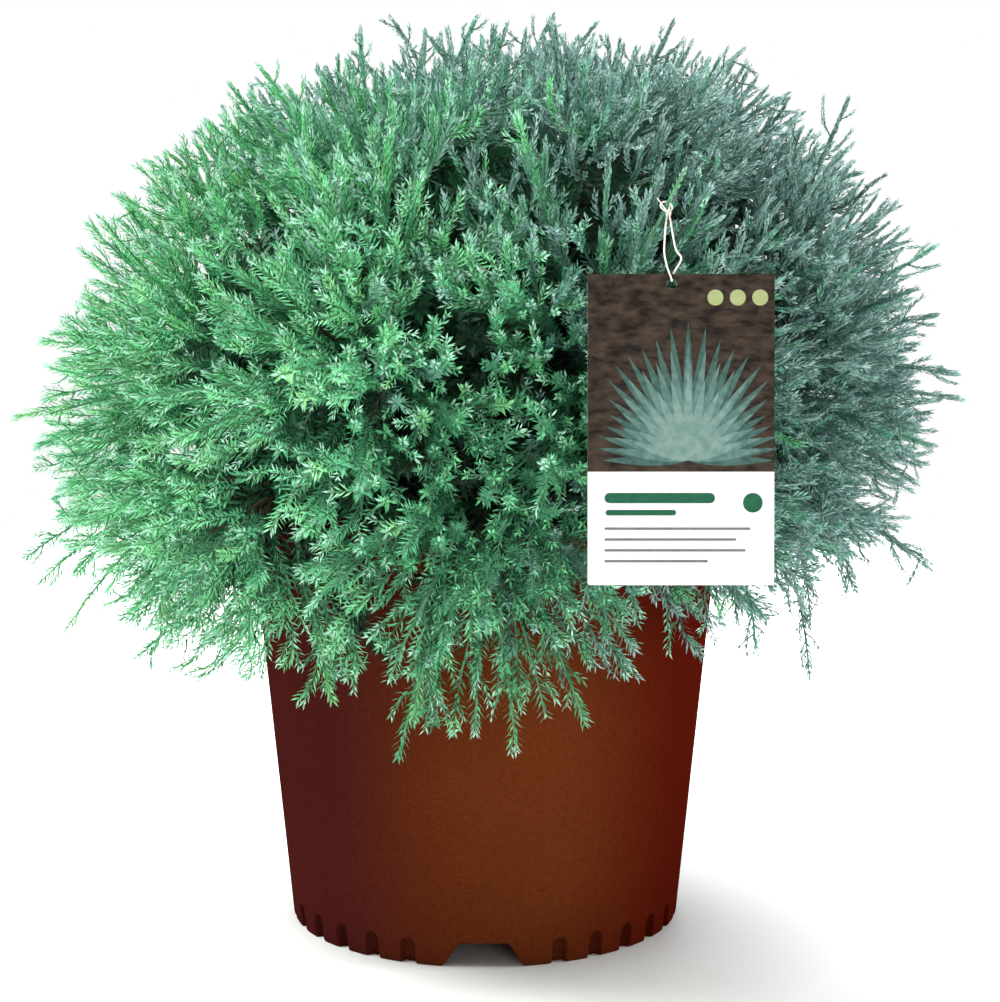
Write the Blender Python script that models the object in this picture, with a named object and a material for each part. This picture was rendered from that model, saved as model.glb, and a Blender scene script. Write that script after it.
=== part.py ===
# A dwarf arborvitae with a round, feathery crown, growing in a plastic nursery pot.
# A care tag hangs from one of its shoots on a knotted string.
# Metres, +Z up. The origin is the centre of the pot's underside, and the front looks along -Y.
# The crown is rings of foliage masses, each on its own bough from one short trunk.

import math

import bmesh
import bpy
import numpy as np

# Driving dimensions
GAP = 0.0003  # between a piece and the one that carries it

POT_HEIGHT = 0.235
POT_FOOT_RADIUS = 0.1105
POT_TAPER = 0.101  # gain in radius for each metre of height
POT_WALL = 0.0022
POT_SIDES = 48
FOOT_WIDTH = 0.006
FOOT_BEVEL = 0.0015
FLOOR_HEIGHT = 0.016
LIP_HEIGHT = 0.011
LIP_OVERHANG = 0.003
LIP_BEVEL = 0.002

NOTCHES = 3
FLUTES_BETWEEN = 8
FLUTE_PITCH = math.radians(11.14)
FLUTE_WIDTH = 0.009
FLUTE_HEIGHT = 0.0146
FLUTE_DEPTH = 0.0028
ARCH_STEPS = 4
NOTCH_TOP_WIDTH = 0.026
NOTCH_FOOT_WIDTH = 0.042
NOTCH_HEIGHT = 0.0126
NOTCH_CORNER = 0.003
CUTTER_REACH = 0.010  # how far a cutter sticks out of what it cuts

SOIL_TOP = 0.212
SOIL_MOUND = 0.005
SOIL_MOUND_RADIUS = 0.045
SOIL_SHOULDER = 0.7  # share of the mound's height at that radius
SOIL_FLAT_RADIUS = 0.022
SOIL_SIDES = 24

TRUNK_FOOT = SOIL_TOP + SOIL_MOUND + GAP
TRUNK_TOP = 0.290
TRUNK_SIDES = 12
TRUNK_LEAN = 0.0035
TRUNK_PROFILE = (  # share of the height, radius: the root flare, the taper and the blunt top
    (0.0, 0.0145),
    (0.08, 0.0118),
    (0.22, 0.0098),
    (0.48, 0.0086),
    (0.75, 0.0072),
    (0.93, 0.0058),
    (1.0, 0.0040),
)

BOUGH_SIDES = 5
BOUGH_RINGS = 5
BOUGH_FOOT_RADIUS = 0.0029
BOUGH_TIP_RADIUS = 0.0018
BOUGH_STRAIGHT = 0.004
BOUGH_PULL = 0.45  # share of its way out that a bough goes before it turns up
BOUGH_END = 0.112  # distance of a bough's tip from the crown's centre

CROWN_CENTRE = np.array([0.0, 0.0, 0.262])
CROWN_RADIUS = 0.240
CROWN_RISE = 0.223
CROWN_FALL = 0.232
RISE_POWER = 2.6  # how square the crown's upper half is, where 2 is a true ellipse
FALL_POWER = 1.4
LOPSIDED = 0.10  # the crown is fuller high on the right and low on the left

TIERS = (  # name, masses, elevation in degrees, first azimuth in degrees, height of the boughs on the trunk
    ("top", 1, 90.0, 0.0, 0.290),
    ("upper", 5, 55.0, 36.0, 0.268),
    ("middle", 8, 20.0, 22.5, 0.252),
    ("skirt", 8, -26.0, 0.0, 0.236),
)
SKIRT_BOUGH_RADIUS = 0.122  # where a skirt's bough ends, over the pot's rim
SKIRT_BOUGH_HEIGHT = 0.250
SKIRT_BEND_RADIUS = 0.150
SKIRT_BEND_HEIGHT = 0.256
SKIRT_MIDDLE_RADIUS = 0.172
SKIRT_MIDDLE_HEIGHT = 0.222

CELL_MARGIN = 0.0008  # half the gap between two neighbouring masses
CORE_MARGIN = 0.0015
POT_MARGIN = 0.004
CORE_START = 0.128
CORE_SHARE = 0.93  # how much of the crown's reach a core fills
SKIRT_CORE_SHARE = 0.85
CORE_MIDDLE = 0.165
CORE_STEP = 0.002
STEM_LENGTH = 0.062
STEM_STRAIGHT = 0.004  # the stem's foot faces its bough squarely
STEM_TIP_RADIUS = 0.0010
ROOT_SHARES = (0.45, 0.92)  # where the first and the last twig leave the stem

TIPS = 275  # places for sprays on the whole sphere, of which the pot takes some
LOWEST_TIP = math.radians(-42.0)
TIP_SHARE_LOW = 1.00
TIP_SHARE_HIGH = 1.09
TIP_JITTER = 0.10
TWIG_RADIUS = 0.0012
SPRAY_CORE_RADIUS = 0.0023
SPRAY_HALF_WIDTH = 0.0070
SPRAY_END_WIDTH = 0.0050
WHORLS = (0.013, 0.036)  # distances of the needle whorls from the tip
WHORL_SCALES = (0.85, 1.15)
WHORL_RISE = 0.019  # how far the needles of a whorl lean forward
SPRAY_BEND = 0.012  # how far a spray bows away from the straight line to its tip
DROOP = 0.022  # how much higher a skirt's spray arches before it hangs
WIDEST_SPREAD = math.radians(32.0)  # from a mass's middle, where a spray leaves the stem lowest

LONG_SHOOTS = (  # azimuth and elevation in degrees, distance of the tip from the crown's centre
    (-79.0, 5.0, 0.270),
    (-101.0, 12.0, 0.266),
    (-88.0, -16.0, 0.268),
    (-84.0, -27.0, 0.254),
    (-88.0, -40.0, 0.236),
    (-75.0, 30.0, 0.256),
    (-66.0, 58.0, 0.250),
    (-90.0, 78.0, 0.254),
    (60.0, 80.0, 0.248),
    (79.0, 7.0, 0.271),
    (98.0, 14.0, 0.268),
    (78.0, 28.0, 0.266),
    (100.0, 52.0, 0.262),
    (86.0, -14.0, 0.262),
    (83.0, -34.0, 0.226),
    (6.0, -41.0, 0.212),
    (-12.0, -36.0, 0.208),
    (-14.0, 10.0, 0.262),
    (170.0, 6.0, 0.268),
    (-165.0, 10.0, 0.266),
    (140.0, -36.0, 0.226),
    (-140.0, 50.0, 0.256),
)

CARD_WIDTH = 0.0792
CARD_HEIGHT = 0.132
CARD_THICKNESS = 0.0008
CARD_TOP = np.array([0.0854, -0.2540, 0.3505])  # the middle of its top edge
CARD_LEAN = math.radians(3.5)
CARD_MARGIN = 0.003
HOLE_RADIUS = 0.0022
HOLE_SIDES = 16
HOLE_ASIDE = -0.004
HOLE_DROP = 0.0042

HANGER_POINT = np.array([0.0815, -0.2270, 0.3815])  # where the string loops over its shoot
HANGER_TIP_DISTANCE = 0.024
HANGER_ROOT_SHARE = 0.6
HANGER_WHORL = 0.009
HANGER_WHORL_RISE = 0.008
HANGER_SIDES = 6
STRING_RADIUS = 0.00055
STRING_SIDES = 5
STRING_POINTS = 33
LOOP_HALF_WIDTH = 0.0045
EYE_RADIUS = 0.0026  # centreline of the small eye round the shoot
EYE_POINTS = 10
EYE_SAG = 0.0001
KNOT_RADIUS = 0.0016
STRING_ROOM = 0.006  # kept free of foliage on each side of the string

UP = np.array([0.0, 0.0, 1.0])
SEED = 38
WELD = 1e-6


def unit(vector):
    return vector / np.linalg.norm(vector)


def heading(azimuth, elevation):
    """Unit vector for an azimuth from the front towards +X and an elevation, in degrees."""
    turn, lift = math.radians(azimuth), math.radians(elevation)
    return np.array([math.sin(turn) * math.cos(lift), -math.cos(turn) * math.cos(lift), math.sin(lift)])


def pot_radius(height):
    return POT_FOOT_RADIUS + POT_TAPER * height


# Meshes

def material(name, colour, roughness):
    made = bpy.data.materials.new(name)
    made.use_nodes = True
    shader = made.node_tree.nodes["Principled BSDF"]
    shader.inputs["Base Color"].default_value = (*colour, 1.0)
    shader.inputs["Roughness"].default_value = roughness
    shader.inputs["Metallic"].default_value = 0.0
    return made


def placed(name, shape, collection=None):
    """A new object that holds a finished bmesh."""
    mesh = bpy.data.meshes.new(name)
    shape.to_mesh(mesh)
    shape.free()
    made = bpy.data.objects.new(name, mesh)
    (collection or bpy.context.scene.collection).objects.link(made)
    return made


def solid(name, points, faces, collection=None):
    """A new object with a closed mesh of these points and faces, turned to point out."""
    shape = bmesh.new()
    corners = [shape.verts.new(point) for point in points]
    for face in faces:
        shape.faces.new([corners[i] for i in face])
    bmesh.ops.recalc_face_normals(shape, faces=shape.faces)
    return placed(name, shape, collection)


def turned(name, profile, sides):
    """A closed solid: a profile of (radius, height), from axis to axis, spun about +Z."""
    shape = bmesh.new()
    line = [shape.verts.new((radius, 0.0, height)) for radius, height in profile]
    edges = [shape.edges.new(pair) for pair in zip(line, line[1:])]
    bmesh.ops.spin(
        shape, geom=line + edges, cent=(0, 0, 0), axis=(0, 0, 1), angle=math.tau, steps=sides
    )
    bmesh.ops.remove_doubles(shape, verts=shape.verts, dist=WELD)
    bmesh.ops.recalc_face_normals(shape, faces=shape.faces)
    return placed(name, shape)


def ring(centre, along, across, radius, sides, turn=0.0):
    """The corners of a regular polygon that stands across a direction."""
    side = unit(across - np.dot(across, along) * along)
    other = np.cross(along, side)
    angles = turn + np.arange(sides) * math.tau / sides
    return centre + radius * (np.outer(np.cos(angles), side) + np.outer(np.sin(angles), other))


def lofted(rings, tip=None):
    """Points and faces of a closed solid through rings of equally many corners, its end flat or pointed."""
    sides = len(rings[0])
    points = [p for r in rings for p in r]
    faces = [tuple(reversed(range(sides)))]
    for k in range(len(rings) - 1):
        for i in range(sides):
            j = (i + 1) % sides
            a, b, c, d = k * sides + i, k * sides + j, (k + 1) * sides + j, (k + 1) * sides + i
            faces.extend([(a, b, d), (b, c, d)])
    end = (len(rings) - 1) * sides
    if tip is None:
        faces.append(tuple(range(end, end + sides)))
    else:
        points.append(tip)
        faces.extend((end + i, end + (i + 1) % sides, end + sides) for i in range(sides))
    return points, faces


def tangents(path):
    """The unit direction of a path at each of its points."""
    steps = np.gradient(np.asarray(path), axis=0)
    return steps / np.linalg.norm(steps, axis=1)[:, None]


def tube(path, radii, sides):
    """A closed tapering limb along a path."""
    along = tangents(path)
    across = np.cross(along[0], UP if abs(along[0][2]) < 0.9 else np.array([0.0, 1.0, 0.0]))
    return lofted([ring(p, a, across, r, sides) for p, a, r in zip(path, along, radii)])


def bend(start, pull, end, count):
    """Points of a quadratic curve from start to end that leans towards pull."""
    t = np.linspace(0.0, 1.0, count)[:, None]
    return (1 - t) ** 2 * start + 2 * t * (1 - t) * pull + t**2 * end


def largest_body(mesh):
    """Drops every part of a mesh but its largest, such as a scrap or the wall of a sealed hollow."""
    shape = bmesh.new()
    shape.from_mesh(mesh)
    unseen = set(shape.verts)
    bodies = []
    while unseen:
        body, front = set(), [unseen.pop()]
        while front:
            vertex = front.pop()
            body.add(vertex)
            for edge in vertex.link_edges:
                other = edge.other_vert(vertex)
                if other in unseen:
                    unseen.remove(other)
                    front.append(other)
        bodies.append(body)
    bodies.sort(key=len)
    for body in bodies[:-1]:
        bmesh.ops.delete(shape, geom=list(body), context="VERTS")
    shape.to_mesh(mesh)
    shape.free()


def joined(host, others, operation="UNION", solver="MANIFOLD"):
    """One Boolean of host with every object of a collection, applied. The collection and its objects go."""
    step = host.modifiers.new("join", "BOOLEAN")
    step.operation = operation
    step.operand_type = "COLLECTION"
    step.collection = others
    step.solver = solver
    graph = bpy.context.evaluated_depsgraph_get()
    mesh = bpy.data.meshes.new_from_object(host.evaluated_get(graph))
    host.modifiers.clear()
    host.data = mesh
    for other in list(others.objects):
        bpy.data.objects.remove(other)
    bpy.data.collections.remove(others)
    largest_body(mesh)
    return host


def helpers(name):
    """A collection for the shapes that one Boolean takes."""
    made = bpy.data.collections.new(name)
    bpy.context.scene.collection.children.link(made)
    return made


# The pot: a tapered shell on a foot ring, with a lip, arched flutes and three drain notches

def pot_profile():
    lip_foot = POT_HEIGHT - LIP_HEIGHT
    lip_radius = pot_radius(POT_HEIGHT) + LIP_OVERHANG
    floor_top = FLOOR_HEIGHT + POT_WALL
    return [
        (0.0, FLOOR_HEIGHT),
        (POT_FOOT_RADIUS - FOOT_WIDTH, FLOOR_HEIGHT),
        (POT_FOOT_RADIUS - FOOT_WIDTH, 0.0),
        (POT_FOOT_RADIUS - FOOT_BEVEL, 0.0),
        (pot_radius(FOOT_BEVEL), FOOT_BEVEL),
        (pot_radius(FLOOR_HEIGHT), FLOOR_HEIGHT),
        (pot_radius(lip_foot), lip_foot),
        (lip_radius, lip_foot + LIP_BEVEL),
        (lip_radius, POT_HEIGHT - LIP_BEVEL),
        (lip_radius - LIP_BEVEL, POT_HEIGHT),
        (pot_radius(POT_HEIGHT) - POT_WALL, POT_HEIGHT),
        (pot_radius(floor_top) - POT_WALL, floor_top),
        (0.0, floor_top),
    ]


def flute_outline():
    """A round-headed arch, as (aside, height), from its open foot."""
    half = FLUTE_WIDTH / 2
    turns = np.linspace(0.0, math.pi, ARCH_STEPS)
    arch = [(half * math.cos(t), FLUTE_HEIGHT - half + half * math.sin(t)) for t in turns]
    return [(half, -CUTTER_REACH), *arch, (-half, -CUTTER_REACH)]


def notch_outline():
    """A trapezium that widens downwards, its upper corners cut."""
    top, foot = NOTCH_TOP_WIDTH / 2, NOTCH_FOOT_WIDTH / 2
    slope = (foot - top) / NOTCH_HEIGHT
    right = [
        (foot + slope * CUTTER_REACH, -CUTTER_REACH),
        (top + slope * NOTCH_CORNER, NOTCH_HEIGHT - NOTCH_CORNER),
        (top - NOTCH_CORNER / 2, NOTCH_HEIGHT),
    ]
    return right + [(-aside, height) for aside, height in reversed(right)]


def wall_cutter(outline, azimuth, depth):
    """A prism on an outline that cuts the wall to a depth, from the side at an azimuth in radians."""
    outward = np.array([math.sin(azimuth), -math.cos(azimuth), 0.0])
    aside = np.array([math.cos(azimuth), math.sin(azimuth), 0.0])

    def place(radius_offset):
        return [
            outward * (pot_radius(max(z, 0.0)) + radius_offset) + aside * x + UP * z for x, z in outline
        ]

    return lofted([np.array(place(-depth)), np.array(place(CUTTER_REACH))])


def make_pot():
    pot = turned("pot", pot_profile(), POT_SIDES)
    cutters = helpers("pot_cutters")
    apart = math.tau / NOTCHES
    first = apart / 2 - FLUTE_PITCH * (FLUTES_BETWEEN - 1) / 2
    for n in range(NOTCHES):
        notch_depth = FOOT_WIDTH + CUTTER_REACH / 2
        solid("notch", *wall_cutter(notch_outline(), n * apart, notch_depth), cutters)
        for k in range(FLUTES_BETWEEN):
            azimuth = n * apart + first + k * FLUTE_PITCH
            solid("flute", *wall_cutter(flute_outline(), azimuth, FLUTE_DEPTH), cutters)
    return joined(pot, cutters, "DIFFERENCE")


def make_soil():
    """The potting mix fills the pot, clear of its wall by the gap, and rises to a flat round the trunk."""
    foot = FLOOR_HEIGHT + POT_WALL + GAP
    inset = POT_WALL + 2 * GAP
    profile = [
        (0.0, foot),
        (pot_radius(foot) - inset, foot),
        (pot_radius(SOIL_TOP) - inset, SOIL_TOP),
        (SOIL_MOUND_RADIUS, SOIL_TOP + SOIL_MOUND * SOIL_SHOULDER),
        (SOIL_FLAT_RADIUS, SOIL_TOP + SOIL_MOUND),
        (0.0, SOIL_TOP + SOIL_MOUND),
    ]
    return turned("soil", profile, SOIL_SIDES)


# The limbs

def trunk_centre(height):
    """The trunk's axis leans a little to the right as it rises."""
    share = (height - TRUNK_FOOT) / (TRUNK_TOP - TRUNK_FOOT)
    return np.array([TRUNK_LEAN * share**2, 0.0, height])


def trunk_radius(height):
    share = (height - TRUNK_FOOT) / (TRUNK_TOP - TRUNK_FOOT)
    return float(np.interp(share, *zip(*TRUNK_PROFILE)))


def make_trunk():
    heights = [TRUNK_FOOT + share * (TRUNK_TOP - TRUNK_FOOT) for share, _ in TRUNK_PROFILE]
    across = np.array([1.0, 0.0, 0.0])
    rings = [ring(trunk_centre(z), UP, across, trunk_radius(z), TRUNK_SIDES) for z in heights]
    return solid("trunk", *lofted(rings))


def bough_path(tier, azimuth, elevation, height):
    """A bough leaves the trunk square to its bark and bends towards its mass."""
    outward = heading(azimuth, 0.0) if tier != "top" else UP
    bark = trunk_radius(height - BOUGH_FOOT_RADIUS) if tier != "top" else 0.0
    start = trunk_centre(height) + outward * (bark + GAP)
    straight = start + outward * BOUGH_STRAIGHT
    if tier == "skirt":
        end = outward * SKIRT_BOUGH_RADIUS + UP * SKIRT_BOUGH_HEIGHT
        pull = outward * SKIRT_BOUGH_RADIUS * BOUGH_PULL + UP * SKIRT_BOUGH_HEIGHT
    else:
        end = CROWN_CENTRE + heading(azimuth, elevation) * BOUGH_END
        pull = straight + outward * BOUGH_END * BOUGH_PULL
    return np.array([start, *bend(straight, pull, end, BOUGH_RINGS)])


# The crown's shape, and the space that each mass keeps to

def reach(direction):
    """How far the crown extends from its centre: half a superellipse up, another down, and lopsided."""
    level = math.hypot(direction[0], direction[1])
    half, power = (CROWN_RISE, RISE_POWER) if direction[2] > 0 else (CROWN_FALL, FALL_POWER)
    plain = ((level / CROWN_RADIUS) ** power + (abs(direction[2]) / half) ** power) ** (-1 / power)
    return plain * (1 + LOPSIDED * direction[0] * direction[2])


def clear_of_pot(points, margin, over_rim=True):
    """Whether points lie outside the pot's lip, or, where that is allowed, above it."""
    radius = np.hypot(points[:, 0], points[:, 1])
    outside = radius > pot_radius(POT_HEIGHT) + LIP_OVERHANG + margin
    above = points[:, 2] > POT_HEIGHT + margin
    return bool(np.all(outside | above if over_rim else outside))


def clear_of_tag(points):
    """Whether points stay behind the hanging card, and off the string above it."""
    aside = np.abs(points[:, 0] - CARD_TOP[0])
    drop = CARD_TOP[2] - points[:, 2]
    card_front = CARD_TOP[1] - math.tan(CARD_LEAN) * drop
    by_card = (aside < CARD_WIDTH / 2 + CARD_MARGIN) & (drop > -CARD_MARGIN)
    by_card &= drop < CARD_HEIGHT + CARD_MARGIN
    by_card &= points[:, 1] < card_front + CARD_MARGIN
    near_string = np.abs(points[:, 0] - HANGER_POINT[0]) < STRING_ROOM
    near_string &= (drop <= 0) & (points[:, 2] < HANGER_POINT[2] + STRING_ROOM)
    near_string &= points[:, 1] < HANGER_POINT[1] + STRING_ROOM
    return not bool(np.any(by_card | near_string))


def in_cell(points, mine, others, margin):
    """Whether points lie nearer this mass's direction than any other's, seen from the crown's centre."""
    from_centre = points - CROWN_CENTRE
    for other in others:
        border = mine - other
        if np.any(from_centre @ unit(border) < margin):
            return False
    return True


# The foliage masses

def spray(path, whorls, across, width, rise=WHORL_RISE, sides=3):
    """A twig along a path that ends in a plume: whorls of needles, each turned from the last."""
    lengths = np.concatenate([[0.0], np.cumsum(np.linalg.norm(np.diff(path, axis=0), axis=1))])
    total = lengths[-1]
    along = tangents(path)

    def at(distance):
        place = [np.interp(distance, lengths, path[:, axis]) for axis in range(3)]
        facing = [np.interp(distance, lengths, along[:, axis]) for axis in range(3)]
        return np.array(place), unit(np.array(facing))

    def corner_ring(distance, radius, turn):
        place, facing = at(distance)
        return ring(place, facing, across, radius, sides, turn)

    rings = [corner_ring(0.0, TWIG_RADIUS, 0.0)]
    turn = 0.0
    for back in sorted(whorls, reverse=True):
        radius = SPRAY_END_WIDTH if back == min(whorls) else width
        rings.append(corner_ring(total - back - rise, SPRAY_CORE_RADIUS * 0.7, turn))
        rings.append(corner_ring(total - back, radius, turn))
        turn += math.pi / sides
    rings.append(corner_ring(total - min(whorls) + TWIG_RADIUS, SPRAY_CORE_RADIUS, turn))
    return lofted(rings, at(total)[0])


def sampled(points, sides=3):
    """Points along the long edges of a spray, close enough together to test it against a space."""
    rings = np.array(points[:-1]).reshape(-1, sides, 3)
    steps = np.linspace(0.0, 1.0, 6)[:, None, None, None]
    between = rings[:-1] + (rings[1:] - rings[:-1]) * steps
    end = rings[-1] + (points[-1] - rings[-1]) * steps[:, 0]
    return np.concatenate([between.reshape(-1, 3), end.reshape(-1, 3)])


def along_stem(stem, share):
    """A point of the stem at a share of its length."""
    places = np.linspace(0.0, 1.0, len(stem))
    return np.array([np.interp(share, places, stem[:, axis]) for axis in range(3)])


def spray_path(stem, tip, spread, drooping):
    """A twig leaves the stem lower down the further out its tip lies, and curves to it."""
    root = along_stem(stem, np.clip(1.0 - spread, *ROOT_SHARES))
    pull = (root + tip) / 2 + unit(stem[-1] - stem[0]) * SPRAY_BEND
    if drooping:
        pull = pull + UP * DROOP
    return bend(root, pull, tip, 9)


def core(name, middle, allowed):
    """A lump round a point that grows each way until it meets the edge of its space."""
    shape = bmesh.new()
    bmesh.ops.create_icosphere(shape, subdivisions=2, radius=1.0)
    grown = {}
    for vertex in shape.verts:
        direction = unit(np.array(vertex.co))
        distance = CORE_STEP
        while allowed((middle + direction * (distance + CORE_STEP))[None]):
            distance += CORE_STEP
        grown[vertex.index] = distance
    for vertex in shape.verts:
        vertex.co = middle + unit(np.array(vertex.co)) * grown[vertex.index]
    return placed(name, shape)


def spread_tips(rng):
    """Directions spread evenly over the crown on a sunflower spiral, each moved a little by chance."""
    golden = math.pi * (3 - math.sqrt(5))
    for k in range(TIPS):
        z = 1 - (2 * k + 1) / TIPS
        level = math.sqrt(1 - z * z)
        direction = np.array([level * math.cos(golden * k), level * math.sin(golden * k), z])
        direction = unit(direction + rng.normal(0.0, TIP_JITTER / 3, 3))
        share = rng.uniform(TIP_SHARE_LOW, TIP_SHARE_HIGH)
        if math.asin(direction[2]) > LOWEST_TIP:
            yield direction, share * reach(direction)


def crown_masses():
    """Each mass's name, tier, azimuth, elevation, bough height and direction."""
    found = []
    for tier, count, elevation, first, height in TIERS:
        for k in range(count):
            azimuth = first + k * 360.0 / count
            name = tier if count == 1 else f"{tier}_{k + 1}"
            found.append((name, tier, azimuth, elevation, height, heading(azimuth, elevation)))
    return found


def stem_path(tier, bough, mine):
    """The stem goes on from its bough to the mass's middle, in the skirt over the pot's rim."""
    onward = unit(bough[-1] - bough[-2])
    foot = bough[-1] + onward * GAP
    straight = foot + onward * STEM_STRAIGHT
    if tier == "skirt":
        outward = unit(np.array([mine[0], mine[1], 0.0]))
        over = outward * SKIRT_BEND_RADIUS + UP * SKIRT_BEND_HEIGHT
        bent = bend(straight, over, skirt_middle(mine), 5)
    else:
        end = CROWN_CENTRE + mine * (BOUGH_END + STEM_LENGTH)
        bent = bend(straight, (straight + end) / 2, end, 5)
    return np.array([foot, *bent])


def skirt_middle(mine):
    outward = unit(np.array([mine[0], mine[1], 0.0]))
    return outward * SKIRT_MIDDLE_RADIUS + UP * SKIRT_MIDDLE_HEIGHT


def make_mass(name, tier, stem, mine, others, tips, rng, hanger=None):
    """One mass: a stem that goes on from its bough, a core round it, and sprays that stand out of both."""
    parts = helpers(name + "_parts")
    middle = skirt_middle(mine) if tier == "skirt" else CROWN_CENTRE + mine * CORE_MIDDLE
    core_share = SKIRT_CORE_SHARE if tier == "skirt" else CORE_SHARE

    def allowed(points, margin=CORE_MARGIN):
        away = points - CROWN_CENTRE
        distance = np.linalg.norm(away, axis=1)
        limit = np.array([reach(unit(a)) for a in away]) * core_share
        shell = np.all((distance < limit) & (distance > CORE_START))
        clear = clear_of_pot(points, POT_MARGIN, tier != "skirt")
        return bool(shell) and clear and in_cell(points, mine, others, margin)

    host = core("mass_" + name, middle, allowed)
    solid("stem", *tube(stem, np.linspace(BOUGH_TIP_RADIUS, STEM_TIP_RADIUS, len(stem)), 5), parts)
    across = unit(np.cross(mine, UP) if abs(mine[2]) < 0.95 else np.array([1.0, 0.0, 0.0]))
    for direction, distance in tips:
        tip = CROWN_CENTRE + direction * distance
        spread = math.acos(np.clip(np.dot(direction, mine), -1.0, 1.0)) / WIDEST_SPREAD
        path = spray_path(stem, tip, spread, tier == "skirt")
        whorls = np.array(WHORLS) * rng.uniform(*WHORL_SCALES)
        turn = rng.uniform(0.0, math.tau)
        sideways = np.cos(turn) * across + np.sin(turn) * np.cross(mine, across)
        points, faces = spray(path, whorls, sideways, SPRAY_HALF_WIDTH)
        cloud = sampled(points)
        fits = in_cell(cloud, mine, others, CELL_MARGIN) and clear_of_pot(cloud, POT_MARGIN / 2)
        if fits and clear_of_tag(cloud):
            solid("spray", points, faces, parts)
    if hanger is not None:
        shape = spray(hanger, (HANGER_WHORL,), across, SPRAY_END_WIDTH, HANGER_WHORL_RISE, HANGER_SIDES)
        solid("hanger", *shape, parts)
    return joined(host, parts)


# The care tag

def hanger_path(stem):
    """The shoot that carries the tag, out through the string's eye."""
    root = along_stem(stem, HANGER_ROOT_SHARE)
    facing = unit(HANGER_POINT - root)
    return bend(root, root + (HANGER_POINT - root) * 0.5, HANGER_POINT + facing * HANGER_TIP_DISTANCE, 9)


def card_axes():
    """The card's width, height and outward directions."""
    aside = np.array([1.0, 0.0, 0.0])
    upward = unit(np.array([0.0, math.tan(CARD_LEAN), 1.0]))
    return aside, upward, np.cross(aside, -upward)


def hole_centre():
    aside, upward, _ = card_axes()
    return CARD_TOP + aside * HOLE_ASIDE - upward * HOLE_DROP


def make_card():
    aside, upward, outward = card_axes()
    half = aside * CARD_WIDTH / 2
    foot = CARD_TOP - upward * CARD_HEIGHT
    corners = [foot - half, foot + half, CARD_TOP + half, CARD_TOP - half]
    depth = outward * CARD_THICKNESS / 2
    card = solid("tag_card", *lofted([np.array(corners) - depth, np.array(corners) + depth]))
    punches = helpers("card_punches")
    ends = [hole_centre() - outward * CUTTER_REACH, hole_centre() + outward * CUTTER_REACH]
    rings = [ring(end, outward, aside, HOLE_RADIUS, HOLE_SIDES) for end in ends]
    solid("punch", *lofted(rings), punches)
    return joined(card, punches, "DIFFERENCE")


def closed_tube(path, radius, sides):
    """A ring of wire round a closed path."""
    count = len(path)
    ahead = np.roll(path, -1, axis=0) - np.roll(path, 1, axis=0)
    ahead /= np.linalg.norm(ahead, axis=1)[:, None]
    normal = unit(np.sum(np.cross(path - path.mean(axis=0), ahead), axis=0))
    rings = [ring(p, a, normal, radius, sides) for p, a in zip(path, ahead)]
    points = [p for r in rings for p in r]
    faces = []
    for k in range(count):
        for i in range(sides):
            j, n = (i + 1) % sides, (k + 1) % count
            faces.append((k * sides + i, k * sides + j, n * sides + j, n * sides + i))
    return points, faces


def smooth_loop(corners, count):
    """A closed curve through its corners, each stretch a cubic that shares its neighbours' slopes."""
    corners = np.asarray(corners)
    size = len(corners)
    found = []
    for u in np.arange(count) * size / count:
        k, t = int(u), u - int(u)
        a, b, c, d = (corners[(k + step) % size] for step in (-1, 0, 1, 2))
        found.append(b + 0.5 * t * (c - a + t * (2 * a - 5 * b + 4 * c - d + t * (3 * (b - c) + d - a))))
    return np.array(found)


def make_string(shoot):
    """The string: a long loop through the card's hole, a knot, and a small eye round the shoot."""
    aside, upward, outward = card_axes()
    along = tangents(shoot)[-3]
    lowest = unit(-UP + np.dot(UP, along) * along)
    eye_centre = HANGER_POINT + lowest * EYE_SAG
    eye = np.array(ring(eye_centre, along, lowest, EYE_RADIUS, EYE_POINTS))
    knot = eye_centre + lowest * (EYE_RADIUS + KNOT_RADIUS * 0.6)
    hole = hole_centre()
    middle = (knot + hole) / 2

    def by_hole(across, rise, out):
        """A point beside the hole, in millimetres along the card's width, up it and out of it."""
        return hole + (aside * across + upward * rise + outward * out) / 1000

    corners = [
        knot,
        middle + aside * LOOP_HALF_WIDTH,
        by_hole(3.8, 10.5, -2.5),
        by_hole(1.4, 5.6, 1.4),
        by_hole(0.3, 2.6, 1.6),
        by_hole(0.1, 1.5, 0.9),
        by_hole(0.0, 1.3, 0.0),
        by_hole(-0.1, 1.5, -0.9),
        by_hole(-0.6, 2.8, -1.7),
        by_hole(-2.6, 7.5, -4.6),
        middle - aside * LOOP_HALF_WIDTH,
    ]
    parts = helpers("string_parts")
    loop = smooth_loop(corners, STRING_POINTS)
    host = solid("tag_string", *closed_tube(loop, STRING_RADIUS, STRING_SIDES))
    solid("eye", *closed_tube(eye, STRING_RADIUS, STRING_SIDES), parts)
    shape = bmesh.new()
    bmesh.ops.create_icosphere(shape, subdivisions=1, radius=KNOT_RADIUS)
    bmesh.ops.translate(shape, vec=knot, verts=shape.verts)
    placed("knot", shape, parts)
    return joined(host, parts)


# The whole plant

def finish(made, coat, smooth_degrees=None):
    made.data.materials.clear()
    made.data.materials.append(coat)
    if smooth_degrees:
        made.data.shade_smooth()
        made.data.set_sharp_from_angle(angle=math.radians(smooth_degrees))


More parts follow.
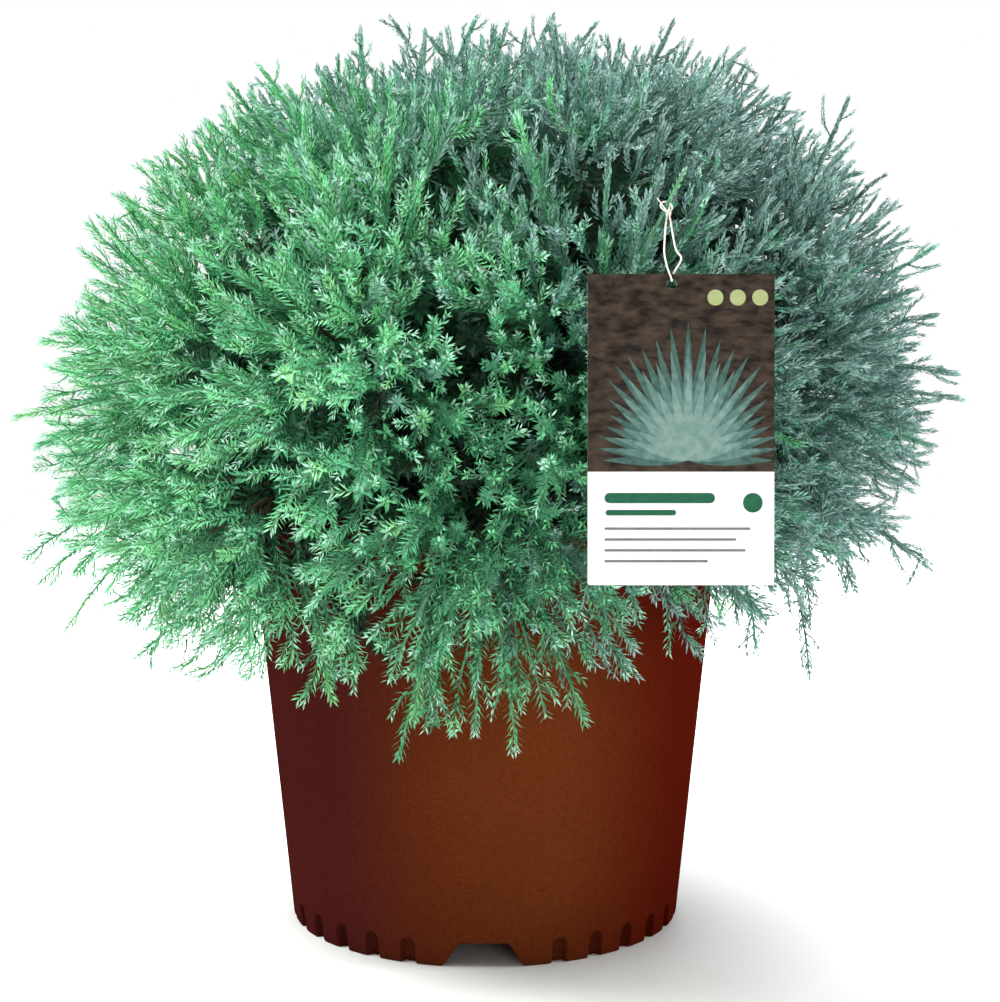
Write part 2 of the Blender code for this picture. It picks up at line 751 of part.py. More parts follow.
def build():
    for old in list(bpy.data.objects):
        bpy.data.objects.remove(old)
    plastic = material("pot_plastic", (0.125, 0.030, 0.012), 0.42)
    mix = material("potting_mix", (0.055, 0.034, 0.022), 0.95)
    bark = material("bark", (0.150, 0.085, 0.050), 0.85)
    leaves = material("foliage", (0.060, 0.270, 0.130), 0.60)
    card_white = material("tag_card", (0.850, 0.850, 0.830), 0.40)
    string_white = material("tag_string", (0.800, 0.800, 0.760), 0.60)

    finish(make_pot(), plastic, 30)
    finish(make_soil(), mix, 30)
    finish(make_trunk(), bark, 60)

    rng = np.random.default_rng(SEED)
    masses = crown_masses()
    directions = [mass[5] for mass in masses]
    tips = {mass[0]: [] for mass in masses}
    wanted = [(heading(a, e), distance) for a, e, distance in LONG_SHOOTS]
    for direction, distance in [*spread_tips(rng), *wanted]:
        owner = int(np.argmax([np.dot(direction, other) for other in directions]))
        tips[masses[owner][0]].append((direction, distance))
    hanging = int(np.argmax([np.dot(unit(HANGER_POINT - CROWN_CENTRE), d) for d in directions]))

    for k, (name, tier, azimuth, elevation, height, mine) in enumerate(masses):
        path = bough_path(tier, azimuth, elevation, height)
        radii = np.linspace(BOUGH_FOOT_RADIUS, BOUGH_TIP_RADIUS, len(path))
        finish(solid("bough_" + name, *tube(path, radii, BOUGH_SIDES)), bark, 70)
        others = [d for i, d in enumerate(directions) if i != k]
        stem = stem_path(tier, path, mine)
        hanger = hanger_path(stem) if k == hanging else None
        finish(make_mass(name, tier, stem, mine, others, tips[name], rng, hanger), leaves)
        if hanger is not None:
            finish(make_string(hanger), string_white, 60)
    finish(make_card(), card_white)


build()
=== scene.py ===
import math

import bpy
import numpy as np
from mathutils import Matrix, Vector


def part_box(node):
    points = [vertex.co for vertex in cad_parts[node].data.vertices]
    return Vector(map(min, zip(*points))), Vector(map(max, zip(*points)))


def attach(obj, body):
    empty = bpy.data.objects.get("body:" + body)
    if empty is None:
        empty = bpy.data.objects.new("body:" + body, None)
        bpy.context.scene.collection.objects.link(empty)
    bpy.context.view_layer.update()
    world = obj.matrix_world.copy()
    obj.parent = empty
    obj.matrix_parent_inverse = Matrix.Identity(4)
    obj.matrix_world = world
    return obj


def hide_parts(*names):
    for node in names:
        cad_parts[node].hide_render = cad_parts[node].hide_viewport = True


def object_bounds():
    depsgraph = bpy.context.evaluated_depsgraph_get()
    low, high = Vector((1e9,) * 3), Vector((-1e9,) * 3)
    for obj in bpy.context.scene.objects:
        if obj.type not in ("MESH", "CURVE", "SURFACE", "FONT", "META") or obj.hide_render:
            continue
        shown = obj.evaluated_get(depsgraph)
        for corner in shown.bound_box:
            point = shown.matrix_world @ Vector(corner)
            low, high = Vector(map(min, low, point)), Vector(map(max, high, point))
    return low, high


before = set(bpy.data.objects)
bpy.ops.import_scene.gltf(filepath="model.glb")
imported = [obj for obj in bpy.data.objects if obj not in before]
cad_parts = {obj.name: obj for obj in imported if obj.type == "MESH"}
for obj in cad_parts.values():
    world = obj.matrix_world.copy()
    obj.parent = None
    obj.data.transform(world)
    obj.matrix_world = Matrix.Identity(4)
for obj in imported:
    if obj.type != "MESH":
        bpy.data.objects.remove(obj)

cad_box = [list(corner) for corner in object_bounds()]

# The camera stands a metre in front of the pot, a little above the rim, and looks slightly down.
# Floor and surround are white, as in a product studio, and a large soft lamp shines from the upper left.

CAMERA_PLACE = (0.0086, -1.0, 0.308)
CAMERA_DIP = math.radians(4.14)
CAMERA_LENS = 62.8
WHITE = (1.0, 1.0, 1.0, 1.0)
SURROUND_TINT = (0.97, 0.99, 1.0, 1.0)
SURROUND_LIGHT = 0.25
FLOOR_HALF = 2.6
FLOOR_GLOW_REACH = 1.1
# Painted light on the floor: it glows, most far off, and the glow falls to none round and under the pot's
# foot, a painted shadow.
FLOOR_GLOWS = ((0.0, 1.0), (0.5, 0.56), (0.80, 0.40), (0.87, 0.16), (0.905, 0.0))  # the pot's axis is at 1
LAMPS = (  # name, place, size, watts, colour
    ("lamp_left", (-1.50, -0.25, 2.30), 1.0, 114.0, (1.0, 0.99, 0.96)),
    ("lamp_front", (0.75, -2.3, 0.55), 1.0, 9.0, (1.0, 0.97, 0.93)),
    ("lamp_right", (2.0, -0.25, 1.0), 0.8, 22.0, (1.0, 0.98, 0.95)),
    ("lamp_behind", (0.3, 1.6, 1.9), 1.2, 46.0, (0.93, 0.97, 1.0)),
)
LAMPS_FACE = (0.0, 0.0, 0.25)
TONE_STOPS = (0.34, 0.66)


def node(tree, kind, values=(), links=(), **settings):
    """A new shader node with its settings, the values of its inputs, and the sockets that feed them."""
    made = tree.nodes.new("ShaderNode" + kind)
    for name, setting in settings.items():
        setattr(made, name, setting)
    for name, value in dict(values).items():
        made.inputs[name].default_value = value
    for name, source in dict(links).items():
        tree.links.new(source, made.inputs[name])
    return made


bpy.context.scene.view_settings.view_transform = "Standard"

camera = bpy.data.objects.new("camera", bpy.data.cameras.new("camera"))
camera.location = CAMERA_PLACE
camera.rotation_euler = (math.pi / 2 - CAMERA_DIP, 0.0, 0.0)
camera.data.lens = CAMERA_LENS
camera.data.clip_start = 0.02
bpy.context.scene.collection.objects.link(camera)
bpy.context.scene.camera = camera

world = bpy.data.worlds.new("studio")
world.use_nodes = True
bpy.context.scene.world = world
tree = world.node_tree
seen = tree.nodes["Background"]
seen.inputs["Color"].default_value = WHITE
seen.inputs["Strength"].default_value = 1.0
shining = node(tree, "Background", {"Color": SURROUND_TINT, "Strength": SURROUND_LIGHT})
ray = node(tree, "LightPath").outputs["Is Camera Ray"]
either = node(tree, "MixShader", links={0: ray, 1: shining.outputs[0], 2: seen.outputs[0]})
tree.links.new(either.outputs[0], tree.nodes["World Output"].inputs["Surface"])

for name, place, size, watts, colour in LAMPS:
    lamp = bpy.data.objects.new(name, bpy.data.lights.new(name, "AREA"))
    lamp.data.shape = "DISK"
    lamp.data.size = size
    lamp.data.energy = watts
    lamp.data.color = colour
    lamp.location = place
    away = lamp.location - type(lamp.location)(LAMPS_FACE)
    lamp.rotation_euler = away.to_track_quat("Z", "Y").to_euler()
    bpy.context.scene.collection.objects.link(lamp)


def piece(name, points, faces, coat, smooth=True):
    """A new object at the origin from an array of points and an array of faces of equally many corners."""
    mesh = bpy.data.meshes.new(name)
    mesh.vertices.add(len(points))
    mesh.vertices.foreach_set("co", np.asarray(points, np.float32).ravel())
    mesh.loops.add(faces.size)
    mesh.loops.foreach_set("vertex_index", faces.astype(np.int32).ravel())
    mesh.polygons.add(len(faces))
    mesh.polygons.foreach_set("loop_start", np.arange(0, faces.size, faces.shape[1], dtype=np.int32))
    mesh.polygons.foreach_set("use_smooth", np.full(len(faces), smooth))
    mesh.update(calc_edges=True)
    mesh.materials.append(coat)
    made = bpy.data.objects.new(name, mesh)
    bpy.context.scene.collection.objects.link(made)
    return made


def coat(name, dark, light, patch, roughness, grain=None, relief=0.0, stretch=(1.0, 1.0, 1.0), shine=0.5):
    """A finish whose colour wanders between two tones over patches of noise, one patch being 1/patch metres.
    A finer noise, grain, lifts the surface by the relief in metres, and both noises can be stretched."""
    made = bpy.data.materials.new(name)
    made.use_nodes = True
    tree = made.node_tree
    shader = tree.nodes["Principled BSDF"]
    shader.inputs["Roughness"].default_value = roughness
    shader.inputs["Specular IOR Level"].default_value = shine
    place = node(tree, "TexCoord").outputs["Object"]
    place = node(tree, "Mapping", {"Scale": stretch}, {"Vector": place}).outputs["Vector"]
    cloud = node(tree, "TexNoise", {"Scale": patch, "Detail": 5.0}, {"Vector": place})
    tones = node(tree, "ValToRGB", links={"Fac": cloud.outputs["Fac"]})
    for stop, position, tone in zip(tones.color_ramp.elements, TONE_STOPS, (dark, light)):
        stop.position, stop.color = position, (*tone, 1.0)
    tree.links.new(tones.outputs["Color"], shader.inputs["Base Color"])
    if grain:
        specks = node(tree, "TexNoise", {"Scale": grain, "Detail": 3.0}, {"Vector": place})
        raised = node(tree, "Bump", {"Distance": relief}, {"Height": specks.outputs["Fac"]})
        tree.links.new(raised.outputs["Normal"], shader.inputs["Normal"])
    return made


# The floor is white and also glows as painted light; its glow fades to nothing near the pot, as a painted
# shadow there.
floor_white = coat("floor_white", (0.86, 0.86, 0.86), (0.90, 0.90, 0.90), 3.0, 0.85)
tree = floor_white.node_tree
floor_shader = tree.nodes["Principled BSDF"]
floor_shader.inputs["Emission Color"].default_value = WHITE
place = tree.nodes["Texture Coordinate"].outputs["Object"]
shrunk = node(tree, "Mapping", {"Scale": (1 / FLOOR_GLOW_REACH,) * 3}, {"Vector": place})
far = node(tree, "TexGradient", links={"Vector": shrunk.outputs["Vector"]}, gradient_type="SPHERICAL")
glow = node(tree, "ValToRGB", links={"Fac": far.outputs["Fac"]})
for k, (position, strength) in enumerate(FLOOR_GLOWS):
    stop = glow.color_ramp.elements.new(position) if k > 1 else glow.color_ramp.elements[k]
    stop.position, stop.color = position, (strength, strength, strength, 1.0)
tree.links.new(glow.outputs["Color"], floor_shader.inputs["Emission Strength"])
floor_corners = np.array([[-1, -1, 0], [1, -1, 0], [1, 1, 0], [-1, 1, 0]]) * FLOOR_HALF
floor = piece("floor", floor_corners, np.array([[0, 1, 2, 3]]), floor_white)

# The nursery pot: injection-moulded brown plastic, tapered so that empty pots stack, with a rolled lip.
# Its foot ring has three drain notches, and between each two of them eight round-headed flutes.

# Painted light and shade on the brown plastic: lighter in the middle, where the light falls, and darker
# maroon towards the left and the right, as painted shade.
LIT_BROWNS = ((0.096, 0.0200, 0.0056), (0.114, 0.0256, 0.0072))  # the plastic's middle
SHADED_MAROONS = ((0.053, 0.0087, 0.0076, 1.0), (0.069, 0.0058, 0.0025, 1.0))  # towards the left and the right
SHADED_MAROON_REACH = (-0.06, 0.08)
LIT_MIDDLE = (0.012, 0.0, 0.11)
LIT_SIZE = (0.098, 1.0, 0.30)
FULLY_LIT = 0.75
SPECK_SCALE = 620.0
SPECKS = {"From Min": 0.3, "From Max": 0.7, "To Min": 0.84, "To Max": 1.16}
pot_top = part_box("pot")[1]
POT_HEIGHT = pot_top.z
LIP_RADIUS = pot_top.x
FOOT_RADIUS = 0.1105
TAPER = 0.101
WALL = 0.0022
FLOOR_HEIGHT = 0.016
FOOT_WIDTH = 0.006
FOOT_BEVEL = 0.0015
LIP_HEIGHT = 0.011
LIP_ROUND = 0.002
NOTCHES = 3
NOTCH_TOP = 0.0125
NOTCH_FOOT = 0.0220
NOTCH_HEIGHT = 0.0126
NOTCH_EASE = 0.45
FLUTES_BETWEEN = 8
FLUTE_PITCH = math.radians(11.14)
FLUTE_HALF = 0.0045
FLUTE_HEIGHT = 0.0146
FLUTE_DEPTH = 0.0046
FLUTE_EDGE = 0.0017
PLAIN_COLUMNS = 180
NARROWEST_COLUMN = 0.0012


def pot_radius(height):
    """The wall's outer radius, which grows with height by the taper."""
    return FOOT_RADIUS + TAPER * height


def arc(centre, radius, start, end, steps):
    """Points (radius, height) of a round corner between two angles in degrees."""
    turns = np.radians(np.linspace(start, end, steps))
    return np.stack([centre[0] + radius * np.cos(turns), centre[1] + radius * np.sin(turns)], axis=1)


def wall_line(heights, inset=0.0):
    """Points (radius, height) on the wall, or inside it by the inset."""
    return np.stack([pot_radius(heights) - inset, heights], axis=1)


def pot_profile():
    """The pot's section as (radius, height): underside, foot, outer wall, lip, inner wall, inner floor."""
    inner = FOOT_RADIUS - FOOT_WIDTH
    lip_foot, lip_top = POT_HEIGHT - LIP_HEIGHT, POT_HEIGHT - LIP_ROUND
    floor_top = FLOOR_HEIGHT + WALL
    return np.concatenate([
        [(0.03, FLOOR_HEIGHT), (0.08, FLOOR_HEIGHT), (inner - 0.002, FLOOR_HEIGHT)],
        [(inner, FLOOR_HEIGHT - 0.001), (inner, 0.010), (inner, 0.005), (inner, 0.001)],
        arc((inner + 0.001, 0.001), 0.001, 180, 270, 3),
        arc((FOOT_RADIUS - FOOT_BEVEL, FOOT_BEVEL), FOOT_BEVEL, -90, 0, 5),
        wall_line(np.linspace(0.0022, FLUTE_HEIGHT + 0.0015, 27)),
        wall_line(np.linspace(0.019, lip_foot - 0.0006, 9)),
        arc((pot_radius(lip_foot) + 0.0006, lip_foot - 0.0006), 0.0006, 180, 90, 4),
        arc((LIP_RADIUS - LIP_ROUND, lip_foot + LIP_ROUND), LIP_ROUND, -90, 0, 6),
        arc((LIP_RADIUS - LIP_ROUND, lip_top), LIP_ROUND, 0, 90, 6),
        arc((pot_radius(POT_HEIGHT) - WALL + 0.0008, POT_HEIGHT - 0.0008), 0.0008, 90, 180, 4),
        wall_line(np.linspace(POT_HEIGHT - 0.003, floor_top + 0.004, 5), WALL),
        [(pot_radius(floor_top) - WALL - 0.004, floor_top), (0.06, floor_top), (0.02, floor_top)],
    ])


def full_turn(count):
    """Even angles once round."""
    return np.linspace(0.0, math.tau, count, endpoint=False)


def pot_azimuths():
    """Where the wall's columns stand: close together across each flute and notch, wider between them."""
    notch = np.linspace(-0.0225, 0.0225, 46) / FOOT_RADIUS
    edge = np.linspace(0.0036, 0.0049, 5)
    flute = np.concatenate([-edge[::-1], np.linspace(-0.003, 0.003, 7), edge]) / FOOT_RADIUS
    found = [notch_middles[:, None] + notch, flute_middles[:, None] + flute]
    found = [np.angle(np.exp(1j * around)).ravel() for around in found]
    found = np.unique(np.round(np.concatenate([full_turn(PLAIN_COLUMNS) - math.pi, *found]), 5))
    return found[np.concatenate([[True], np.diff(found) > NARROWEST_COLUMN])]


def nearest(azimuths, middles):
    """The signed distance along the foot from the nearest of several middles."""
    apart = np.angle(np.exp(1j * (azimuths[:, None] - middles)))
    return apart[np.arange(len(azimuths)), np.abs(apart).argmin(axis=1)] * FOOT_RADIUS


def smoothstep(share):
    """An S-shaped rise from 0 to 1 as the share goes from 0 to 1."""
    share = np.clip(share, 0.0, 1.0)
    return share * share * (3 - 2 * share)


def mantle(rings, sides):
    """Triangles between neighbouring rings of corners, ring by ring, the last joined to the first."""
    ring, side = np.indices((rings, sides))
    above, beside = (ring + 1) % rings * sides, (side + 1) % sides
    a, b, c, d = ring * sides + side, ring * sides + beside, above + beside, above + side
    return np.stack([a, b, c, a, c, d], axis=-1).reshape(-1, 3)


def skins(rings, starts, ends):
    """Closed skins, many at once, from rings, shape by ring by corner by 3, and a point to shut each end."""
    shapes, rows, sides, _ = rings.shape
    points = np.concatenate([rings.reshape(shapes, -1, 3), starts[:, None], ends[:, None]], axis=1)
    wall = mantle(rows, sides)[:-2 * sides]
    corner = np.arange(sides)
    after, top = (corner + 1) % sides, (rows - 1) * sides
    foot = np.stack([np.full(sides, rows * sides), after, corner], axis=1)
    head = np.stack([np.full(sides, rows * sides + 1), top + corner, top + after], axis=1)
    faces = np.concatenate([wall, foot, head])
    faces = faces[None] + points.shape[1] * np.arange(shapes)[:, None, None]
    return points.reshape(-1, 3), faces.reshape(-1, 3)


def turned(profile, azimuths):
    """A profile of (radius, height) carried round the axis: every corner of a ring has its own azimuth."""
    outward = np.stack([np.sin(azimuths), -np.cos(azimuths)], axis=1)
    flat = profile[..., 0, None] * outward[None]
    return np.concatenate([flat, np.broadcast_to(profile[..., 1, None], flat.shape[:2] + (1,))], axis=2)


def mixed(values, links, **settings):
    """The colour that a mixing node in the current tree gives."""
    return node(tree, "Mix", values, links, data_type="RGBA", **settings).outputs["Result"]


notch_middles = np.arange(NOTCHES) * math.tau / NOTCHES
first_flute = math.pi / NOTCHES - FLUTE_PITCH * (FLUTES_BETWEEN - 1) / 2
flute_middles = (notch_middles[:, None] + first_flute + np.arange(FLUTES_BETWEEN) * FLUTE_PITCH).ravel()
azimuths = pot_azimuths()
section = pot_profile()
radii = np.repeat(section[:, :1], len(azimuths), axis=1)
heights = np.repeat(section[:, 1:], len(azimuths), axis=1)
steepness = (NOTCH_FOOT - np.abs(nearest(azimuths, notch_middles))) / (NOTCH_FOOT - NOTCH_TOP)
steepness = np.clip(steepness, 0.0, 1.0)
notch_lift = NOTCH_HEIGHT * (steepness * (1 - NOTCH_EASE) + smoothstep(steepness) * NOTCH_EASE)
on_foot = (heights < FLOOR_HEIGHT) & (radii > FOOT_RADIUS - FOOT_WIDTH - 1e-6)
above_arch = np.maximum(heights - (FLUTE_HEIGHT - FLUTE_HALF), 0.0)
inside_arch = FLUTE_HALF - np.hypot(nearest(azimuths, flute_middles), above_arch)
on_face = on_foot & (radii > FOOT_RADIUS - FOOT_BEVEL - 1e-6)
radii = radii - FLUTE_DEPTH * smoothstep(inside_arch / FLUTE_EDGE) * on_face
heights = np.where(on_foot, notch_lift + heights * (1 - notch_lift / FLOOR_HEIGHT), heights)
rings = turned(np.stack([radii, heights], axis=2), azimuths)
pot_ends = np.array([[[0.0, 0.0, FLOOR_HEIGHT]], [[0.0, 0.0, FLOOR_HEIGHT + WALL]]])
pot_plastic = coat("pot_plastic", *LIT_BROWNS, 9.0, 0.42, 1500.0, 0.00025, shine=0.0)
tree = pot_plastic.node_tree
place = tree.nodes["Texture Coordinate"].outputs["Object"]
brown = tree.nodes["Color Ramp"].outputs["Color"]
# The lit brown middle fades into the shaded maroon of the sides: painted light and painted shade over the
# plastic's own brown and its specks.
placed = node(tree, "Mapping", {"Location": LIT_MIDDLE, "Scale": LIT_SIZE}, {"Vector": place},
              vector_type="TEXTURE")
lit_gradient = node(tree, "TexGradient", links={"Vector": placed.outputs["Vector"]}, gradient_type="SPHERICAL")
lit_share = node(tree, "MapRange", {"From Max": FULLY_LIT}, {"Value": lit_gradient.outputs["Fac"]},
            interpolation_type="SMOOTHSTEP").outputs["Result"]
across = node(tree, "SeparateXYZ", links={"Vector": place}).outputs["X"]
leaning = node(tree, "MapRange", dict(zip(("From Min", "From Max"), SHADED_MAROON_REACH)), {"Value": across})
shaded_maroon = mixed({"A": SHADED_MAROONS[0], "B": SHADED_MAROONS[1]}, {"Factor": leaning.outputs["Result"]})
lit_and_shaded = mixed({}, {"A": shaded_maroon, "B": brown, "Factor": lit_share})
specks = node(tree, "TexNoise", {"Scale": SPECK_SCALE}, {"Vector": place}).outputs["Fac"]
speckled = node(tree, "MapRange", SPECKS, {"Value": specks}).outputs["Result"]
grained = mixed({"Factor": 1.0}, {"A": lit_and_shaded, "B": speckled}, blend_type="MULTIPLY")
tree.links.new(grained, tree.nodes["Principled BSDF"].inputs["Base Color"])
pot = piece("pot_shell", *skins(rings[None], *pot_ends), pot_plastic)
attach(pot, "root")
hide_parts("pot")

# The potting mix is shredded bark and peat. It fills the pot to a thumb's width under the lip.
# It was firmed round the trunk's foot at potting on, so that it mounds there, and chips lie on top.

SOIL_TOP = 0.212
SOIL_MOUND = 0.005
SOIL_SWELL = 0.0012
SOIL_MOUND_RADIUS = 0.050
SOIL_SIDES = 96
SOIL_RINGS = 44
SOIL_PLAY = 0.0006
CHIPS = 420
CHIP_LENGTHS = (0.004, 0.011)
CHIP_SECTIONS = ((-0.5, 0.18), (-0.2, 0.24), (0.25, 0.22), (0.5, 0.13))  # place and half width, of the length
SOIL_SEED = 5

soil_rng = np.random.default_rng(SOIL_SEED)
soil_edge = pot_radius(SOIL_TOP) - WALL - SOIL_PLAY


def soil_height(x, y):
    """The mound's bell curve, plus a lumpiness made of crossed waves."""
    lumps = np.sin(210 * x + 40 * y) * np.cos(180 * y - 60 * x) + 0.6 * np.sin(470 * y + 130 * x)
    lumps = lumps + 0.5 * np.cos(690 * x - 240 * y)
    return SOIL_TOP + SOIL_MOUND * np.exp(-((x**2 + y**2) / SOIL_MOUND_RADIUS**2)) + SOIL_SWELL * lumps / 2


def unit(vectors):
    """Each vector of an array, brought to length one."""
    return vectors / np.linalg.norm(vectors, axis=-1, keepdims=True)


turns = full_turn(SOIL_SIDES)
top_radii = np.linspace(soil_edge, 0.004, SOIL_RINGS)
x, y = top_radii[:, None] * np.sin(turns), -top_radii[:, None] * np.cos(turns)
top_rings = np.stack([x, y, soil_height(x, y)], axis=2)
foot = FLOOR_HEIGHT + WALL + 0.0003
side_profile = np.array([[0.05, foot], [pot_radius(foot) - WALL - SOIL_PLAY, foot]])
rings = np.concatenate([turned(side_profile[:, None].repeat(SOIL_SIDES, axis=1), turns), top_rings])
soil_ends = np.array([[[0.0, 0.0, foot]], [[0.0, 0.0, float(soil_height(0.0, 0.0))]]])
mix_brown = coat("mix_brown", (0.022, 0.013, 0.008), (0.085, 0.052, 0.032), 240.0, 0.95, 900.0, 0.0012)
soil = piece("soil_surface", *skins(rings[None], *soil_ends), mix_brown)
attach(soil, "root")
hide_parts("soil")

chip_radius = soil_edge * 0.96 * np.sqrt(soil_rng.uniform(0.02, 1.0, CHIPS))
chip_turn = soil_rng.uniform(0.0, math.tau, CHIPS)
x, y = chip_radius * np.cos(chip_turn), chip_radius * np.sin(chip_turn)
chip_middle = np.stack([x, y, soil_height(x, y) + 0.0006], axis=1)
level = soil_rng.normal(0.0, 1.0, (2, CHIPS))
chip_along = unit(np.stack([*level, soil_rng.normal(0.0, 0.25, CHIPS)], axis=1))
chip_across = unit(np.cross(chip_along, soil_rng.normal(0.0, 0.3, (CHIPS, 3)) + [0.0, 0.0, 1.0]))
chip_up = np.cross(chip_across, chip_along)
chip_length = soil_rng.uniform(*CHIP_LENGTHS, CHIPS)[:, None]
corner_turns = np.radians([45.0, 135.0, 225.0, 315.0])
chip_rings = []
for share, width in CHIP_SECTIONS:
    middle = chip_middle + chip_along * chip_length * share
    ragged = soil_rng.uniform(0.8, 1.2, (CHIPS, 4, 1))
    corners = chip_across[:, None] * np.cos(corner_turns)[:, None] * 1.3
    corners = corners + chip_up[:, None] * np.sin(corner_turns)[:, None] * 0.45
    chip_rings.append(middle[:, None] + corners * ragged * (chip_length * width)[:, None])
chip_ends = [chip_middle + chip_along * chip_length * share for share in (-0.54, 0.55)]
chip_bark = coat("chip_bark", (0.060, 0.032, 0.018), (0.190, 0.110, 0.062), 160.0, 0.9, 700.0, 0.0008)
chips = piece("bark_chips", *skins(np.stack(chip_rings, axis=1), *chip_ends), chip_bark, smooth=False)
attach(chips, "root")

# The limbs: one short trunk with a root flare, and a bough to each of the twenty-two masses of foliage.
# The bark is thin, grey-brown and fibrous, and shreds into long ridges that twist a little round the limb.

TRUNK_FOOT, TRUNK_TOP = (corner.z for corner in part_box("trunk"))
TRUNK_LEAN = 0.0035
TRUNK_SHARES = (0.0, 0.08, 0.22, 0.48, 0.75, 0.93, 1.0)
TRUNK_RADII = (0.0145, 0.0118, 0.0098, 0.0086, 0.0072, 0.0058, 0.0040)
TRUNK_RINGS = 56
TRUNK_SIDES = 56
ROOTS = 5
ROOT_FLARE = 0.16
ROOT_FADE = 14
BOUGH_RADII = (0.0031, 0.0018)
BOUGH_SUNK = 0.003
BOUGH_PULL = 0.45
BOUGH_END = 0.112
BOUGH_RINGS = 30
BOUGH_SIDES = 14
BARK_RIDGES = 11
BARK_TWIST = 55.0
BARK_DEPTH = 0.10
CROWN_CENTRE = np.array([0.0, 0.0, 0.262])
UP = np.array([0.0, 0.0, 1.0])
TIERS = (  # name, masses, elevation in degrees, first azimuth in degrees, height of the boughs on the trunk
    ("top", 1, 90.0, 0.0, 0.290),
    ("upper", 5, 55.0, 36.0, 0.268),
    ("middle", 8, 20.0, 22.5, 0.252),
    ("skirt", 8, -26.0, 0.0, 0.236),
)
SKIRT_BOUGH = (0.122, 0.250)  # radius and height
SKIRT_BEND = (0.150, 0.256)
SKIRT_MIDDLE = (0.172, 0.222)
STEM_LENGTH = 0.062
STEM_STRAIGHT = 0.004


def heading(azimuth, elevation):
    """Unit vector for an azimuth from the front towards +X and an elevation, in degrees."""
    turn, lift = np.radians(azimuth), np.radians(elevation)
    return np.stack([np.sin(turn) * np.cos(lift), -np.cos(turn) * np.cos(lift), np.sin(lift)], axis=-1)


def bend(start, pull, end, count):
    """Points of quadratic curves from start to end that lean towards pull, for one curve or an array."""
    t = np.linspace(0.0, 1.0, count)[:, None]
    start, pull, end = (np.asarray(p)[..., None, :] for p in (start, pull, end))
    return (1 - t) ** 2 * start + 2 * t * (1 - t) * pull + t**2 * end


def trunk_centre(height):
    """The trunk's middle line leans by the square of the share of its height."""
    share = (height - TRUNK_FOOT) / (TRUNK_TOP - TRUNK_FOOT)
    return np.stack([TRUNK_LEAN * share**2, np.zeros_like(share), height], axis=-1)


def bough_curve(tier, azimuth, elevation, height):
    """A bough leaves the trunk square to its bark and bends towards its mass: start, pull, end."""
    outward = heading(azimuth, 0.0) if tier != "top" else UP
    start = trunk_centre(np.float64(height)) - outward * BOUGH_SUNK
    if tier == "skirt":
        end = outward * SKIRT_BOUGH[0] + UP * SKIRT_BOUGH[1]
        pull = outward * SKIRT_BOUGH[0] * BOUGH_PULL + UP * SKIRT_BOUGH[1]
    else:
        end = CROWN_CENTRE + heading(azimuth, elevation) * BOUGH_END
        pull = start + outward * BOUGH_END * BOUGH_PULL
    return np.stack([start, pull, end])


def stem_path(tier, bough, mine):
    """The stem runs on from its bough to the mass's middle, in the skirt out over the rim and down."""
    straight = bough[-1] + unit(bough[-1] - bough[-2]) * STEM_STRAIGHT
    if tier == "skirt":
        outward = unit(mine * [1.0, 1.0, 0.0])
        over, end = (outward * radius + UP * height for radius, height in (SKIRT_BEND, SKIRT_MIDDLE))
    else:
        end = CROWN_CENTRE + mine * (BOUGH_END + STEM_LENGTH)
        over = (straight + end) / 2
    return np.concatenate([bough[-1:], bend(straight, over, end, 5)])


def spokes_round(paths, sides):
    """At every point of each path, unit vectors square to the path at even angles round it."""
    ahead = unit(np.gradient(paths, axis=1))
    level = np.abs(ahead[:, :1, 2:]) < 0.9
    side = unit(np.cross(ahead, np.where(level, UP, [0.0, 1.0, 0.0])))
    other, turns = np.cross(ahead, side), full_turn(sides)[:, None]
    return np.cos(turns) * side[:, :, None] + np.sin(turns) * other[:, :, None]


def barked(paths, radii, sides):
    """Rings round each path, ridged by a wave that winds up the limb and is broken up by a slower one."""
    turns = full_turn(sides)
    along = np.cumsum(np.linalg.norm(np.gradient(paths, axis=1), axis=2), axis=1)[..., None]
    wave = np.sin(BARK_RIDGES * turns + BARK_TWIST * along + 2.0 * np.sin(140 * along + 3 * turns))
    wave = wave * (0.7 + 0.3 * np.sin(310 * along - 2 * turns)) + 0.5 * np.sin(5 * turns - 90 * along)
    around = radii[..., None] * (1 + BARK_DEPTH * wave * np.minimum(1.0, sides / BARK_RIDGES / 3))
    return paths[:, :, None] + spokes_round(paths, sides) * around[..., None]


masses = []
for tier, count, elevation, first, height in TIERS:
    for k in range(count):
        name = tier if count == 1 else f"{tier}_{k + 1}"
        masses.append((name, tier, first + k * 360.0 / count, elevation, height))
mass_headings = np.array([heading(mass[2], mass[3]) for mass in masses])
bough_curves = np.array([bough_curve(*mass[1:]) for mass in masses]).transpose(1, 0, 2)
boughs = bend(*bough_curves, BOUGH_RINGS)
stems = [stem_path(mass[1], bough, mine) for mass, bough, mine in zip(masses, boughs, mass_headings)]
stems = np.array(stems)

